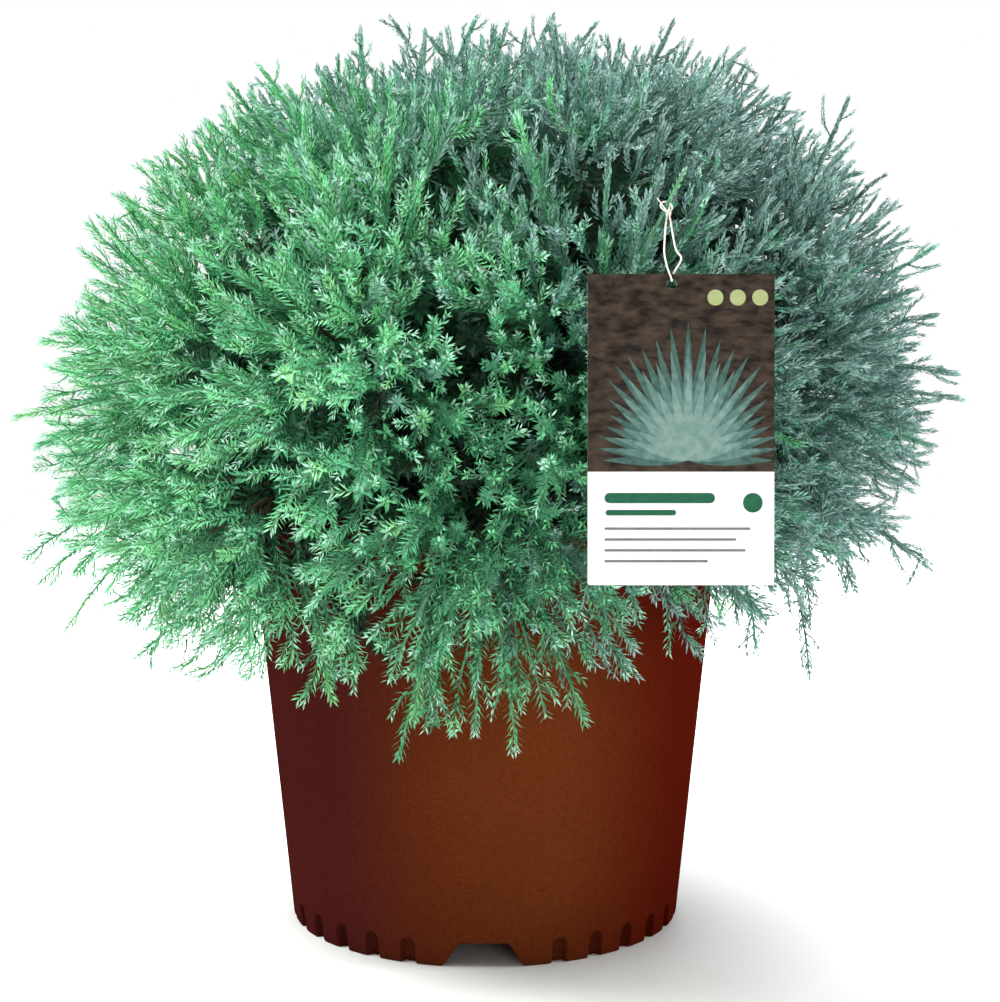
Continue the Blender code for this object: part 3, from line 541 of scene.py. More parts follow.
trunk_path = trunk_centre(np.linspace(TRUNK_FOOT, TRUNK_TOP, TRUNK_RINGS))
trunk_shares = np.linspace(0.0, 1.0, TRUNK_RINGS)
trunk_radii = np.interp(trunk_shares, TRUNK_SHARES, TRUNK_RADII)
trunk_rings = barked(trunk_path[None], trunk_radii[None], TRUNK_SIDES)
lobes = np.cos(ROOTS * full_turn(TRUNK_SIDES))[:, None]
lobes = 1 + ROOT_FLARE * (1 - trunk_shares) ** ROOT_FADE * lobes
trunk_middle = trunk_path[None, :, None]
trunk_rings = trunk_middle + (trunk_rings - trunk_middle) * lobes.T[None, :, :, None]
bough_radii = np.linspace(*BOUGH_RADII, BOUGH_RINGS)[None].repeat(len(masses), axis=0)
bough_rings = barked(boughs, bough_radii, BOUGH_SIDES)
bark_brown = coat("bark_brown", (0.070, 0.042, 0.026), (0.230, 0.150, 0.095), 120.0, 0.9, 420.0, 0.0015,
                  (1.0, 1.0, 0.22))
trunk = piece("trunk_bark", *skins(trunk_rings, trunk_path[:1], trunk_path[-1:] + UP * 0.0005), bark_brown)
bough_bark = piece("bough_bark", *skins(bough_rings, boughs[:, 0], boughs[:, -1]), bark_brown)
for limb, replaced in ((trunk, ["trunk"]), (bough_bark, [f"bough_{mass[0]}" for mass in masses])):
    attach(limb, "root")
    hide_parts(*replaced)

# The twigs: every mass is a stem with branchlets to its tips, side shoots on those, and sprigs on the shoots.
# They follow the solids' rule and go two orders finer. Wood is brown inside the crown, green where young.

CROWN_RADIUS = 0.240
CROWN_RISE = 0.223
CROWN_FALL = 0.232
RISE_POWER = 2.6
FALL_POWER = 1.4
LOPSIDED = 0.10
SOURCE_SEED = 38
TIPS = 275
LOWEST_TIP = math.radians(-42.0)
TIP_SHARES = (1.00, 1.09)
TIP_JITTER = 0.10
ROOT_SHARES = (0.45, 0.92)
WIDEST_SPREAD = math.radians(32.0)
BRANCHLET_BEND = 0.012
BRANCHLET_DROOP = 0.022
HANGING_FROM = (-0.40, 0.42)  # how far down and how far aside a tip's heading is past which tips thin out
HANGING_DROPPED = (0.88, 0.62)  # of those, on the left and on the right
LEAF_ROOM = 0.003
LONG_SHOOTS = np.array([  # azimuth and elevation in degrees, distance of the tip from the crown's centre
    (-79, 5, 0.263), (-101, 12, 0.266), (-88, -16, 0.268), (-84, -27, 0.254), (-88, -40, 0.236),
    (-75, 30, 0.256), (-66, 58, 0.250), (-90, 78, 0.254), (60, 80, 0.248), (79, 7, 0.268),
    (98, 14, 0.268), (78, 28, 0.266), (100, 52, 0.262), (86, -14, 0.262), (83, -34, 0.226),
    (6, -41, 0.212), (-12, -36, 0.208), (-14, 10, 0.262), (170, 6, 0.268), (-165, 10, 0.266),
    (140, -36, 0.226), (-140, 50, 0.256), (-71, -11, 0.262), (-97, -6, 0.262), (-104, -20, 0.256),
    (-73, -21, 0.254), (-94, -26, 0.248), (-68, -30, 0.240), (74, -12, 0.246), (96, -20, 0.236),
])
SHOOTS = 3600
SHOOT_LENGTHS = (0.044, 0.066)
SHOOT_SHARES = (0.90, 1.035)
SHOOT_RISE = 0.12
SHOOT_WANDER = 0.20
TUFTING = 0.028
INNER_TWIGS = 2900
INNER_LENGTHS = (0.036, 0.060)
INNER_SHARES = (0.56, 0.84)
INNER_WANDER = 1.3
TWIGS_PER_BOUGH = 34
BOUGH_TWIG_LENGTHS = (0.026, 0.050)
TWIG_TURN = math.radians(137.5)
SPRIGS = 5
SPRIG_LENGTHS = (0.009, 0.020)
SHORTEST = (0.012, 0.006)  # shoot and sprig
GROWTH_SEED = 11
POT_MARGIN = 0.003
CARD_TOP = np.array([0.0854, -0.2540, 0.3505])
CARD_WIDTH = 0.0792
CARD_HEIGHT = 0.132
CARD_LEAN = math.radians(3.5)
CARD_ROOM = 0.006
HANGER_POINT = np.array([0.0815, -0.2270, 0.3815])
HANGER_TIP = 0.024
HANGER_ROOT = 0.6
HANGER_LEAFED = 0.66
STRING_ROOM = 0.008


def reach(direction):
    """How far the crown extends from its centre: half a superellipse up, another down, and lopsided."""
    level = np.hypot(direction[..., 0], direction[..., 1])
    rising = direction[..., 2] > 0
    half, power = np.where(rising, CROWN_RISE, CROWN_FALL), np.where(rising, RISE_POWER, FALL_POWER)
    plain = ((level / CROWN_RADIUS) ** power + (np.abs(direction[..., 2]) / half) ** power) ** (-1 / power)
    return plain * (1 + LOPSIDED * direction[..., 0] * direction[..., 2])


def spread_tips():
    """The solids' tips: headings on a sunflower spiral, moved a little by chance, and their distances."""
    rng = np.random.default_rng(SOURCE_SEED)
    golden = math.pi * (3 - math.sqrt(5))
    directions, distances = [], []
    for k in range(TIPS):
        z = 1 - (2 * k + 1) / TIPS
        level = math.sqrt(1 - z * z)
        direction = np.array([level * math.cos(golden * k), level * math.sin(golden * k), z])
        direction = unit(direction + rng.normal(0.0, TIP_JITTER / 3, 3))
        share = rng.uniform(*TIP_SHARES)
        if math.asin(direction[2]) > LOWEST_TIP:
            directions.append(direction)
            distances.append(share * reach(direction))
    long_headings = heading(LONG_SHOOTS[:, 0], LONG_SHOOTS[:, 1])
    return np.concatenate([directions, long_headings]), np.concatenate([distances, LONG_SHOOTS[:, 2]])


def on_curve(curves, t):
    """The point and the unit direction of each quadratic curve (start, pull, end) at its own share t."""
    t = t[..., None]
    start, pull, end = curves
    place = (1 - t) ** 2 * start + 2 * t * (1 - t) * pull + t**2 * end
    return place, unit((1 - t) * (pull - start) + t * (end - pull))


def clear(curves):
    """Which curves stay off the pot, behind the hanging card and away from its string all along."""
    points = bend(*curves, 9)
    radius, height = np.hypot(points[..., 0], points[..., 1]), points[..., 2]
    off_pot = (radius > LIP_RADIUS + POT_MARGIN) | (height > POT_HEIGHT + POT_MARGIN)
    aside, drop = np.abs(points[..., 0] - CARD_TOP[0]), CARD_TOP[2] - points[..., 2]
    by_card = (aside < CARD_WIDTH / 2 + CARD_ROOM) & (drop > -CARD_ROOM) & (drop < CARD_HEIGHT + CARD_ROOM)
    by_card &= points[..., 1] < CARD_TOP[1] - math.tan(CARD_LEAN) * drop + CARD_ROOM
    by_string = (np.abs(points[..., 0] - HANGER_POINT[0]) < STRING_ROOM) & (drop <= 0)
    by_string &= (height < HANGER_POINT[2] + STRING_ROOM) & (points[..., 1] < HANGER_POINT[1] + STRING_ROOM)
    return np.all(off_pot & ~by_card & ~by_string, axis=1)


def inside_box(points):
    """Which points lie inside the solids' box."""
    return np.all((points > cad_box[0]) & (points < cad_box[1]), axis=-1)


tip_headings, tip_distances = spread_tips()
owners = np.argmax(tip_headings @ mass_headings.T, axis=1)
in_skirt = np.array([mass[1] == "skirt" for mass in masses])[owners]
tips = CROWN_CENTRE + tip_headings * (tip_distances - LEAF_ROOM)[:, None]
spread = np.arccos(np.clip(np.sum(tip_headings * mass_headings[owners], axis=1), -1, 1)) / WIDEST_SPREAD
stem_place = np.clip(1.0 - spread, *ROOT_SHARES) * (stems.shape[1] - 1)
whole = np.minimum(stem_place.astype(int), stems.shape[1] - 2)
part = (stem_place - whole)[:, None]
roots = stems[owners, whole] * (1 - part) + stems[owners, whole + 1] * part
stem_headings = unit(stems[:, -1] - stems[:, 0])[owners]
pulls = (roots + tips) / 2 + stem_headings * BRANCHLET_BEND + in_skirt[:, None] * UP * BRANCHLET_DROOP
hanger_stem = stems[int(np.argmax(mass_headings @ unit(HANGER_POINT - CROWN_CENTRE)))]
hanger_places = np.linspace(0.0, 1.0, stems.shape[1])
hanger_root = np.array([np.interp(HANGER_ROOT, hanger_places, along) for along in hanger_stem.T])
hanger_tip = HANGER_POINT + unit(HANGER_POINT - hanger_root) * HANGER_TIP
branchlets = np.stack([roots, pulls, tips])
growth = np.random.default_rng(GROWTH_SEED)
hanging_aside = (tip_headings[:, 2] < HANGING_FROM[0]) & (np.abs(tip_headings[:, 0]) > HANGING_FROM[1])
drop_share = hanging_aside * np.where(tip_headings[:, 0] < 0, *HANGING_DROPPED)
keep = clear(branchlets) & (growth.uniform(0.0, 1.0, len(drop_share)) >= drop_share)
branchlets, tip_headings = branchlets[:, keep], tip_headings[keep]
airy = smoothstep((-tip_headings[:, 2] - 0.05) / 0.35)


def side_growth(curves, shares, turns, lengths, opening, limit_shares, droop):
    """Side twigs of many curves at once. Each leaves at a share of its curve's length, turned round it by an
    angle, opens away from it and bends forward again. None ends further out than its limit, a share of the
    crown's reach, or than its curve's own end, and each hangs by the droop, a share of its length."""
    parents = np.repeat(curves, shares.shape[1], axis=1)
    place, ahead = on_curve(parents, shares.ravel())
    reference = unit(growth.normal(0.0, 1.0, (curves.shape[1], 3))).repeat(shares.shape[1], axis=0)
    side = unit(np.cross(ahead, reference))
    side = side * np.cos(turns.ravel())[:, None] + np.cross(ahead, side) * np.sin(turns.ravel())[:, None]
    length, opening = lengths.ravel()[:, None], opening.ravel()[:, None]
    onward = unit(ahead * 0.7 + unit(place - CROWN_CENTRE) * 0.3)
    pull = place + (ahead * 0.45 + side * 0.9) * length * 0.42
    end = place + unit(onward + side * opening) * length - UP * length * np.ravel(droop)[:, None]
    from_centre = end - CROWN_CENTRE
    distance = np.linalg.norm(from_centre, axis=1)
    limit = reach(from_centre / distance[:, None]) * np.ravel(limit_shares) - LEAF_ROOM
    parent_tip = np.linalg.norm(parents[2] - CROWN_CENTRE, axis=1)
    limit = np.maximum(limit, parent_tip * growth.uniform(0.96, 1.0, len(limit)))
    end = CROWN_CENTRE + from_centre * (np.minimum(distance, limit) / distance)[:, None]
    return np.stack([place, pull, end])


def length_of(curves):
    """The length of each curve, from six straight steps along it."""
    return np.linalg.norm(np.diff(bend(*curves, 7), axis=1), axis=2).sum(axis=1)


def side_places(count, each, span, lengths, openings):
    """Shares, turns, lengths and openings of side twigs on a number of curves. The shares go by even steps
    over the span, each moved on by chance within its step, and each twig is turned on from the last."""
    shares = np.arange(each) + growth.uniform(0.0, 1.0, (count, each))
    shares = span[0] + (span[1] - span[0]) / each * shares
    turns = growth.uniform(0, math.tau, (count, 1)) + TWIG_TURN * np.arange(each)
    return shares, turns, growth.uniform(*lengths, shares.shape), growth.uniform(*openings, shares.shape)


def facing(curves):
    """The unit direction of each curve's end from the crown's centre."""
    return unit(curves[2] - CROWN_CENTRE)


def finer(count, shares, lengths, rise, wander):
    """The same rule, only finer: tips on a closer sunflower, each on a twig of the branchlet that points most
    towards it. A twig leaves where its length says and ends more upright than it began, or flatter in the
    skirt. Twigs thin out low down, most to the right, and a little to the left."""
    k = np.arange(count)
    z, turn = 1 - (2 * k + 1) / count, math.pi * (3 - math.sqrt(5)) * k
    level = np.sqrt(1 - z**2)
    spiral = np.stack([level * np.cos(turn), level * np.sin(turn), z], axis=1)
    toward = unit(spiral + growth.normal(0.0, 1.2 / math.sqrt(count), (count, 3)))
    toward = toward[np.arcsin(toward[:, 2]) > LOWEST_TIP]
    low = smoothstep((-toward[:, 2] - 0.05) / 0.35)
    shift = np.where(toward[:, 0] > 0, 0.21, 0.02) * toward[:, 0]
    lowest = smoothstep((-toward[:, 2] - 0.34 + shift) / 0.22)
    leftmost = smoothstep(-toward[:, 0] / 0.6)
    dropped = 0.15 * low + (0.60 + 0.25 * toward[:, 0]) * lowest + 0.20 * leftmost
    kept = growth.uniform(0.0, 1.0, len(low)) > dropped
    toward, low = toward[kept], low[kept]
    parent = np.argmax(toward @ tip_headings.T, axis=1)
    tuft = growth.normal(0.0, TUFTING, len(tip_headings))[parent]
    share = np.minimum(growth.uniform(*shares, len(toward)) + tuft, 1.05)
    distance = share * reach(toward) - LEAF_ROOM
    end = CROWN_CENTRE + toward * distance[:, None]
    places = bend(*branchlets, 21)[parent]
    apart = np.linalg.norm(places - end[:, None], axis=2)
    length = growth.uniform(*lengths, len(toward))
    outside = np.linalg.norm(places - CROWN_CENTRE, axis=2) > (distance - 0.4 * length)[:, None]
    chosen = np.where(outside, 1.0, np.abs(apart - length[:, None])).argmin(axis=1)
    start = places[np.arange(len(toward)), chosen]
    length = np.linalg.norm(end - start, axis=1)[:, None]
    aside = np.cross(toward, growth.normal(0.0, wander, toward.shape))
    flatter = toward * [1, 1, 0] * low[:, None] * 0.6
    upright = toward + UP * (rise * (1 - low) + 0.05)[:, None] + flatter + aside
    curves = np.stack([start, end - unit(upright) * length * 0.5, end])
    keep = clear(curves) & (length_of(curves) > SHORTEST[0])
    return curves[:, keep], low[keep]


shoots, shoot_sparse = finer(SHOOTS, SHOOT_SHARES, SHOOT_LENGTHS, SHOOT_RISE, SHOOT_WANDER)
inner = finer(INNER_TWIGS, INNER_SHARES, INNER_LENGTHS, 0.0, INNER_WANDER)[0]
innermost = side_places(len(masses), TWIGS_PER_BOUGH, (0.28, 1.0), BOUGH_TWIG_LENGTHS, (1.5, 4.0))
innermost = side_growth(bough_curves, *innermost, 0.80, 0.0)
inner = np.concatenate([inner, innermost[:, clear(innermost)]], axis=1)


def sprigs_of(curves, sparse, span):
    """Short side shoots along a span of each curve, fewer on the left, where the long shoots stand single."""
    places = side_places(curves.shape[1], SPRIGS, span, SPRIG_LENGTHS, (0.40, 0.90))
    limits = growth.uniform(SHOOT_SHARES[0], 1.05, places[0].shape)
    grown = side_growth(curves, *places, limits, np.repeat(sparse * 0.1, SPRIGS))
    toward = facing(grown)
    branched = 0.42 + 0.58 * smoothstep((toward[:, 0] + 0.6 * np.maximum(toward[:, 2], 0.0) + 0.30) / 0.5)
    kept = clear(grown) & (length_of(grown) > SHORTEST[1])
    return grown[:, kept & (growth.uniform(0.0, 1.0, len(toward)) < branched)]


sprigs = [sprigs_of(shoots, shoot_sparse, (0.32, 0.90)), sprigs_of(branchlets, airy, (0.66, 0.95))]
sprigs = np.concatenate(sprigs, axis=1)
hanger = np.stack([hanger_root, (hanger_root + HANGER_POINT) / 2, hanger_tip])[:, None]
hanger_foot = np.stack([hanger[0], hanger[0] * (1 - HANGER_LEAFED) + hanger[1] * HANGER_LEAFED,
                        on_curve(hanger, np.array([HANGER_LEAFED]))[0]])


def limbs(paths, radii, sides):
    """Closed tapering twigs: rings square to each path, from a flat foot to a pointed end."""
    rings = paths[:, :, None] + spokes_round(paths, sides) * np.asarray(radii)[:, None, None]
    ahead = unit(paths[:, -1] - paths[:, -2])
    return skins(rings, paths[:, 0], paths[:, -1] + ahead * radii[-1] * 2)


def joined(groups):
    """One array of points and one of faces out of several."""
    offsets = np.cumsum([0] + [len(points) for points, _ in groups[:-1]])
    return (np.concatenate([points for points, _ in groups]),
            np.concatenate([faces + offset for (_, faces), offset in zip(groups, offsets)]))


wood = coat("twig_wood", (0.045, 0.036, 0.026), (0.120, 0.096, 0.066), 90.0, 0.85, 500.0, 0.0006)
green_wood = coat("shoot_green", (0.060, 0.180, 0.095), (0.140, 0.310, 0.180), 70.0, 0.6, 600.0, 0.0003)
woody = joined([
    limbs(stems, np.linspace(0.0019, 0.0011, stems.shape[1]), 7),
    limbs(bend(*branchlets, 9)[:, :4], np.linspace(0.0011, 0.0009, 4), 5),
    limbs(bend(*inner, 4), np.linspace(0.0006, 0.0004, 4), 3),
])
young = joined([
    limbs(bend(*branchlets, 9)[:, 3:], np.linspace(0.0009, 0.0004, 6), 5),
    limbs(bend(*hanger, 9), np.linspace(0.0012, 0.0007, 9), 6),
    limbs(bend(*shoots, 5), np.linspace(0.0006, 0.0003, 5), 3),
])
twigs = piece("woody_twigs", *woody, wood)
green_twigs = piece("green_shoots", *young, green_wood)
side_sprigs = piece("side_sprigs", *limbs(bend(*sprigs, 3), np.linspace(0.0005, 0.0003, 3), 3), green_wood)
for made, slot in ((twigs, "bark"), (green_twigs, "foliage"), (side_sprigs, "foliage")):
    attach(made, "root")

# The needles: soft awl-shaped leaves in crossed pairs, closer together and paler, with a bloom, at the tips.
# They spread low and to the left, and lie close above and to the right, where the crown is greyer.

NEEDLE_LENGTHS = (0.0042, 0.0062)
NEEDLE_WIDTHS = (0.33, 0.180)
NEEDLE_SPACING = 0.00155
INNER_SPACING = 0.0024
NEEDLE_FOLD = 0.30
NEEDLE_ARCHES = (0.26, 0.05)
PAIR_TURN = math.radians(97.0)
NEEDLE_ANGLES = (0.28, 1.02)
TIP_ANGLES = (0.28, 0.86)
SPACING_SHARES = (1.20, 1.0)
TIP_SHRINK = (0.12, 0.34)
BLOOM_NODES = 3
OLD_NODES = 13
FINE_NODES = 3
MOST_NEEDLES = 48000
NEEDLE_SEED = 23
# Each hue's three tones are shaded, middle and lit copies of one colour: painted light and shade, dealt to
# each spray by where it stands in the crown.
NEEDLE_TONES = {  # darker and lighter tone: three of green, of blue-green and of grey, then the others
    "deep": ((0.025, 0.170, 0.075), (0.070, 0.320, 0.160)),
    "green": ((0.050, 0.300, 0.130), (0.165, 0.620, 0.320)),
    "emerald": ((0.090, 0.420, 0.165), (0.270, 0.790, 0.390)),
    "dusk": ((0.045, 0.130, 0.102), (0.105, 0.250, 0.200)),
    "blue": ((0.080, 0.270, 0.195), (0.200, 0.510, 0.390)),
    "aqua": ((0.150, 0.400, 0.285), (0.320, 0.660, 0.500)),
    "slate": ((0.055, 0.125, 0.116), (0.125, 0.240, 0.228)),
    "grey": ((0.115, 0.232, 0.218), (0.255, 0.440, 0.420)),
    "silver": ((0.200, 0.345, 0.325), (0.390, 0.570, 0.545)),
    "fresh": ((0.140, 0.500, 0.170), (0.320, 0.780, 0.360)),
    "mint": ((0.340, 0.680, 0.480), (0.500, 0.820, 0.660)),
    "frost": ((0.280, 0.460, 0.435), (0.410, 0.600, 0.575)),
    # painted shade: near-black tones for needles inside the crown, the second less dark where light leaks in
    "shade": ((0.006, 0.040, 0.018), (0.017, 0.078, 0.034)),
    "undergrowth": ((0.016, 0.105, 0.046), (0.044, 0.205, 0.098)),
}
FRESH, MINT, FROST = 9, 10, 11

needle_rng = np.random.default_rng(NEEDLE_SEED)


def needles(curves, start, spacing, open_share, scale=1.0, breadth=1.0):
    """Pairs of needles from a start share of each curve to its tip, where they crowd, each turned on from
    the last. On an open shoot they are long and lean well out, on a close one short, broad and pressed to it.
    A needle is a kite folded along its midrib: base, two flanks, midrib, point. Returns corners, needle by
    corner by 3, each needle's curve, and its number of pairs from the tip."""
    between = lambda ends: np.interp(wide, (0, 1), ends)
    spacings = spacing * np.interp(open_share, (0, 1), SPACING_SHARES)
    pairs = np.maximum(((1 - start) * length_of(curves) / spacings).astype(int), 2)
    owner = np.repeat(np.arange(len(pairs)), pairs)
    step = np.arange(len(owner)) - np.repeat(np.cumsum(pairs) - pairs, pairs)
    from_tip = pairs[owner] - 1 - step
    t = 1 - (1 - start) * ((from_tip + 0.2) / pairs[owner]) ** 1.12
    place, ahead = on_curve(curves[:, owner], t)
    reference = unit(needle_rng.normal(0.0, 1.0, (len(pairs), 3)))[owner]
    side = unit(np.cross(ahead, reference))
    turn = needle_rng.uniform(0.0, math.tau, len(pairs))[owner] + step * PAIR_TURN
    turn = np.stack([turn, turn + math.pi], axis=1) + needle_rng.normal(0.0, 0.12, (len(owner), 2))
    spoke = side[:, None] * np.cos(turn)[..., None] + np.cross(ahead, side)[:, None] * np.sin(turn)[..., None]
    young = smoothstep(1 - from_tip / 6.0)
    wide = open_share[owner]
    lean = between(NEEDLE_ANGLES) * (1 - young) + between(TIP_ANGLES) * young
    lean = lean[:, None] + needle_rng.normal(0.0, 0.08, (len(owner), 2))
    length = between(NEEDLE_LENGTHS) * scale * (1 - between(TIP_SHRINK) * young)
    length = length * np.clip(0.75 + step / 8.0, 0.0, 1.0)
    length = (length[:, None] * needle_rng.uniform(0.85, 1.15, (len(owner), 2)))[..., None]
    lean, ahead = lean[..., None], ahead[:, None]
    along = np.cos(lean) * ahead + np.sin(lean) * spoke
    inward = np.sin(lean) * ahead - np.cos(lean) * spoke
    width = length * (between(NEEDLE_WIDTHS) * (1 + 0.25 * young))[:, None, None] * breadth
    arch = between(NEEDLE_ARCHES)[:, None, None]
    base = place[:, None] + spoke * 0.0003
    midrib = base + along * length * 0.45 - inward * length * arch * 0.5
    flank, fold = np.cross(ahead, spoke) * width / 2, inward * width * NEEDLE_FOLD
    point = base + along * length + inward * length * arch
    corners = np.stack([base, midrib + flank + fold, midrib - flank + fold, midrib, point], axis=2)
    corners = corners.reshape(-1, 5, 3)
    good = inside_box(corners[:, 4]) & inside_box(corners[:, 1])
    return corners[good], np.repeat(owner, 2)[good], np.repeat(from_tip, 2)[good]


def greyness(curves):
    """How grey a spray is: more so to the right and at the top, with some chance from spray to spray.
    The greener left and the greyer right are painted light and painted shade.
    """
    x, y, z = facing(curves).T
    grey = 0.39 + 0.43 * x + 0.36 * np.maximum(z, 0.0) ** 1.3 - 0.10 * np.maximum(-y, 0.0) ** 3
    return grey + needle_rng.normal(0.0, 0.10, len(x))


def openness(curves):
    """How far needles spread: wide on the left, the front and low down, close on the right and at the top."""
    x, y, z = facing(curves).T
    closing = 0.45 * np.maximum(x, 0.0) * smoothstep((z + 0.50) / 0.35)
    wide = 0.66 + 0.22 * y**2 - closing - 0.05 * x - 0.70 * np.maximum(z, 0.0) ** 1.5
    return np.clip(wide + needle_rng.normal(0.0, 0.12, len(x)), 0.05, 1.0)


def painted_light_tone(curves):
    """Which of its hue's three tones a spray has, 0 to 2, as painted light and shade: lighter on the left and
    at the top, where the light falls, darker at the upper right, and darkest at the front's middle, where the
    sprays stand one behind another and shade each other."""
    x, y, z = facing(curves).T
    top, left, right = np.maximum([z, -x, x], 0.0)
    light = 1.65 + 0.85 * top + 0.3 * left - 1.75 * right * top
    light = light - 1.60 * np.exp(-((x - 0.05) ** 2) / 0.12 - (z + 0.12) ** 2 / 0.16) * (y < 0)
    return light + needle_rng.normal(0.0, 0.45, len(x))


leaf_groups = {(name, young): [] for name in NEEDLE_TONES for young in (True, False)}


def deal(curves, start, spacing=NEEDLE_SPACING, scale=1.0):
    """Grows needles on curves and deals them out to tones by their spray, with a bloom on the youngest."""
    corners, owner, from_tip = needles(curves, start, spacing, openness(curves), scale)
    grey = greyness(curves)
    chance = needle_rng.uniform(0.0, 1.0, curves.shape[1])
    # Painted light and shade: each spray's tone is lighter or darker by where the light falls on it, and a
    # spray sunk deep in the crown is a tone darker, as painted shade.
    depth = np.linalg.norm(curves[2] - CROWN_CENTRE, axis=1)
    sunk_in_shade = depth < 0.86 * reach(facing(curves))
    light = painted_light_tone(curves)
    hue = 3 * np.select([grey < 0.46, grey < 0.64], [0, 1], 2)
    body = hue + np.clip(np.round(light - (sunk_in_shade & (chance < 0.6))), 0, 2).astype(int)
    body = np.where((grey < 0.42) & (light > 0.8) & (chance > 0.86), FRESH, body)
    old = hue + np.clip(np.round(light - 0.8), 0, 2).astype(int)
    bloom = np.where(light < 0.7, hue + 2, np.where(grey < 0.50, MINT, FROST))
    bloom_share = 0.55 + 0.2 * np.clip(light, 0, 2) - 0.25 * (grey > 0.55)
    blooming = needle_rng.uniform(0.0, 1.0, len(light)) < bloom_share
    bloomed = blooming[owner] & (from_tip < BLOOM_NODES) & (needle_rng.uniform(0.0, 1.0, len(owner)) < 0.85)
    number = np.where(bloomed, bloom[owner], body[owner])
    number = np.where(from_tip + needle_rng.normal(0.0, 2.0, len(owner)) > OLD_NODES, old[owner], number)
    for k, name in enumerate(NEEDLE_TONES):
        for young in (True, False):
            leaf_groups[name, young].append(corners[(number == k) & ((from_tip < FINE_NODES) == young)])


deal(branchlets, 0.32, scale=1.1)
deal(shoots[:, shoot_sparse < 0.5], 0.10)
deal(shoots[:, shoot_sparse >= 0.5], 0.10, NEEDLE_SPACING * 1.4, 1.1)
deal(sprigs, 0.12, scale=0.92)
deal(hanger_foot, 0.25)
deal(hanger, 0.85, scale=0.8)
# Inner needles fill the crown's depths in near-black as painted shade; those facing the top and the left take
# a less dark tone, painted light leaking in.
inner_needles, owner = needles(inner, 0.05, INNER_SPACING, np.ones(inner.shape[1]), 1.6, 2.0)[:2]
toward = facing(inner)
lit = smoothstep((np.maximum(toward[:, 2], 0.0) - toward[:, 0] - 0.15) / 0.5)
lit = (needle_rng.uniform(0.0, 1.0, len(lit)) < lit)[owner]
leaf_groups["shade", False].append(inner_needles[~lit])
leaf_groups["undergrowth", False].append(inner_needles[lit])

FINE_KITE = np.array([[0, 1, 3], [0, 3, 2], [3, 1, 4], [3, 4, 2]])
PLAIN_KITE = np.array([[0, 1, 3], [0, 3, 2]])
finishes = {tone: coat(f"needle_{tone}", *tones, 420.0, 0.55) for tone, tones in NEEDLE_TONES.items()}
for (tone, young), groups in leaf_groups.items():
    kite = FINE_KITE if young else PLAIN_KITE
    corners = np.concatenate(groups)[:, range(5) if young else [0, 1, 2, 4]]
    for k in range(0, len(corners), MOST_NEEDLES):
        batch = corners[k:k + MOST_NEEDLES]
        faces = kite[None] + batch.shape[1] * np.arange(len(batch))[:, None, None]
        name = f"needles_{tone}_{'young' if young else 'old'}_{k // MOST_NEEDLES + 1}"
        made = piece(name, batch.reshape(-1, 3), faces.reshape(-1, 3), finishes[tone], smooth=False)
        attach(made, "root")
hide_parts(*[f"mass_{mass[0]}" for mass in masses])

# The care tag: a stiff plastic card with round corners, printed on its face and punched near its top edge.
# Above is a dark brown panel with a plain fan of leaves and three dots, below a white part with plain bars.

CARD_THICKNESS = 0.0008
CARD_CORNER = 0.0012
HOLE_RADIUS = 0.0022
HOLE_ASIDE = -0.004
HOLE_DROP = 0.0042
HOLE_MIDDLE = np.array([HOLE_ASIDE, CARD_HEIGHT / 2 - HOLE_DROP])
PRINT_RISE = 0.00006
PRINT_SHINE = 0.15
aside = np.array([1.0, 0.0, 0.0])
upward = unit(np.array([0.0, math.tan(CARD_LEAN), 1.0]))
outward = np.cross(aside, upward)
card_middle = CARD_TOP - upward * CARD_HEIGHT / 2


def on_card(flat, lift):
    """Points given across and up the card from its middle, in metres, and a lift out of its front."""
    flat = np.asarray(flat)
    return card_middle + flat[..., :1] * aside + flat[..., 1:2] * upward + lift * outward


def rounded(half_width, half_height, corner, steps=7):
    """A rectangle's outline with round corners, counter-clockwise, about its middle."""
    turns = np.linspace(0.0, math.pi / 2, steps)
    quarters = []
    for k, (x, y) in enumerate(((1, 1), (-1, 1), (-1, -1), (1, -1))):
        middle = np.array([x * (half_width - corner), y * (half_height - corner)])
        angle = turns + k * math.pi / 2
        quarters.append(middle + corner * np.stack([np.cos(angle), np.sin(angle)], axis=1))
    return np.concatenate(quarters)


def plate(outline, low, high):
    """A flat plate between two lifts, each face a fan about the outline's middle."""
    middle = outline.mean(axis=0)
    rings = np.stack([on_card(outline, low), on_card(outline, high)])[None]
    return skins(rings, on_card(middle, low)[None], on_card(middle, high)[None])


def closed_grid(rings):
    """Points and triangles of rings of equally many corners, the last ring joined to the first."""
    return rings.reshape(-1, 3), mantle(*rings.shape[:2])


def punched(outline, low, high):
    """A plate with the punched hole, whose rim has a corner in line with each corner of the outline."""
    hole = HOLE_MIDDLE + HOLE_RADIUS * unit(outline - HOLE_MIDDLE)
    return closed_grid(np.stack([on_card(flat, lift) for flat, lift in (
        (outline, low), (outline, high), (hole, high), (hole, low))]))


def sampled(outline, spacing=0.0012):
    """The outline with points added along it at even steps, its own corners kept."""
    closed = np.concatenate([outline, outline[:1]])
    travelled = np.concatenate([[0.0], np.cumsum(np.linalg.norm(np.diff(closed, axis=0), axis=1))])
    places = np.union1d(travelled, np.arange(0.0, travelled[-1], spacing))[:-1]
    return np.stack([np.interp(places, travelled, closed[:, axis]) for axis in range(2)], axis=1)


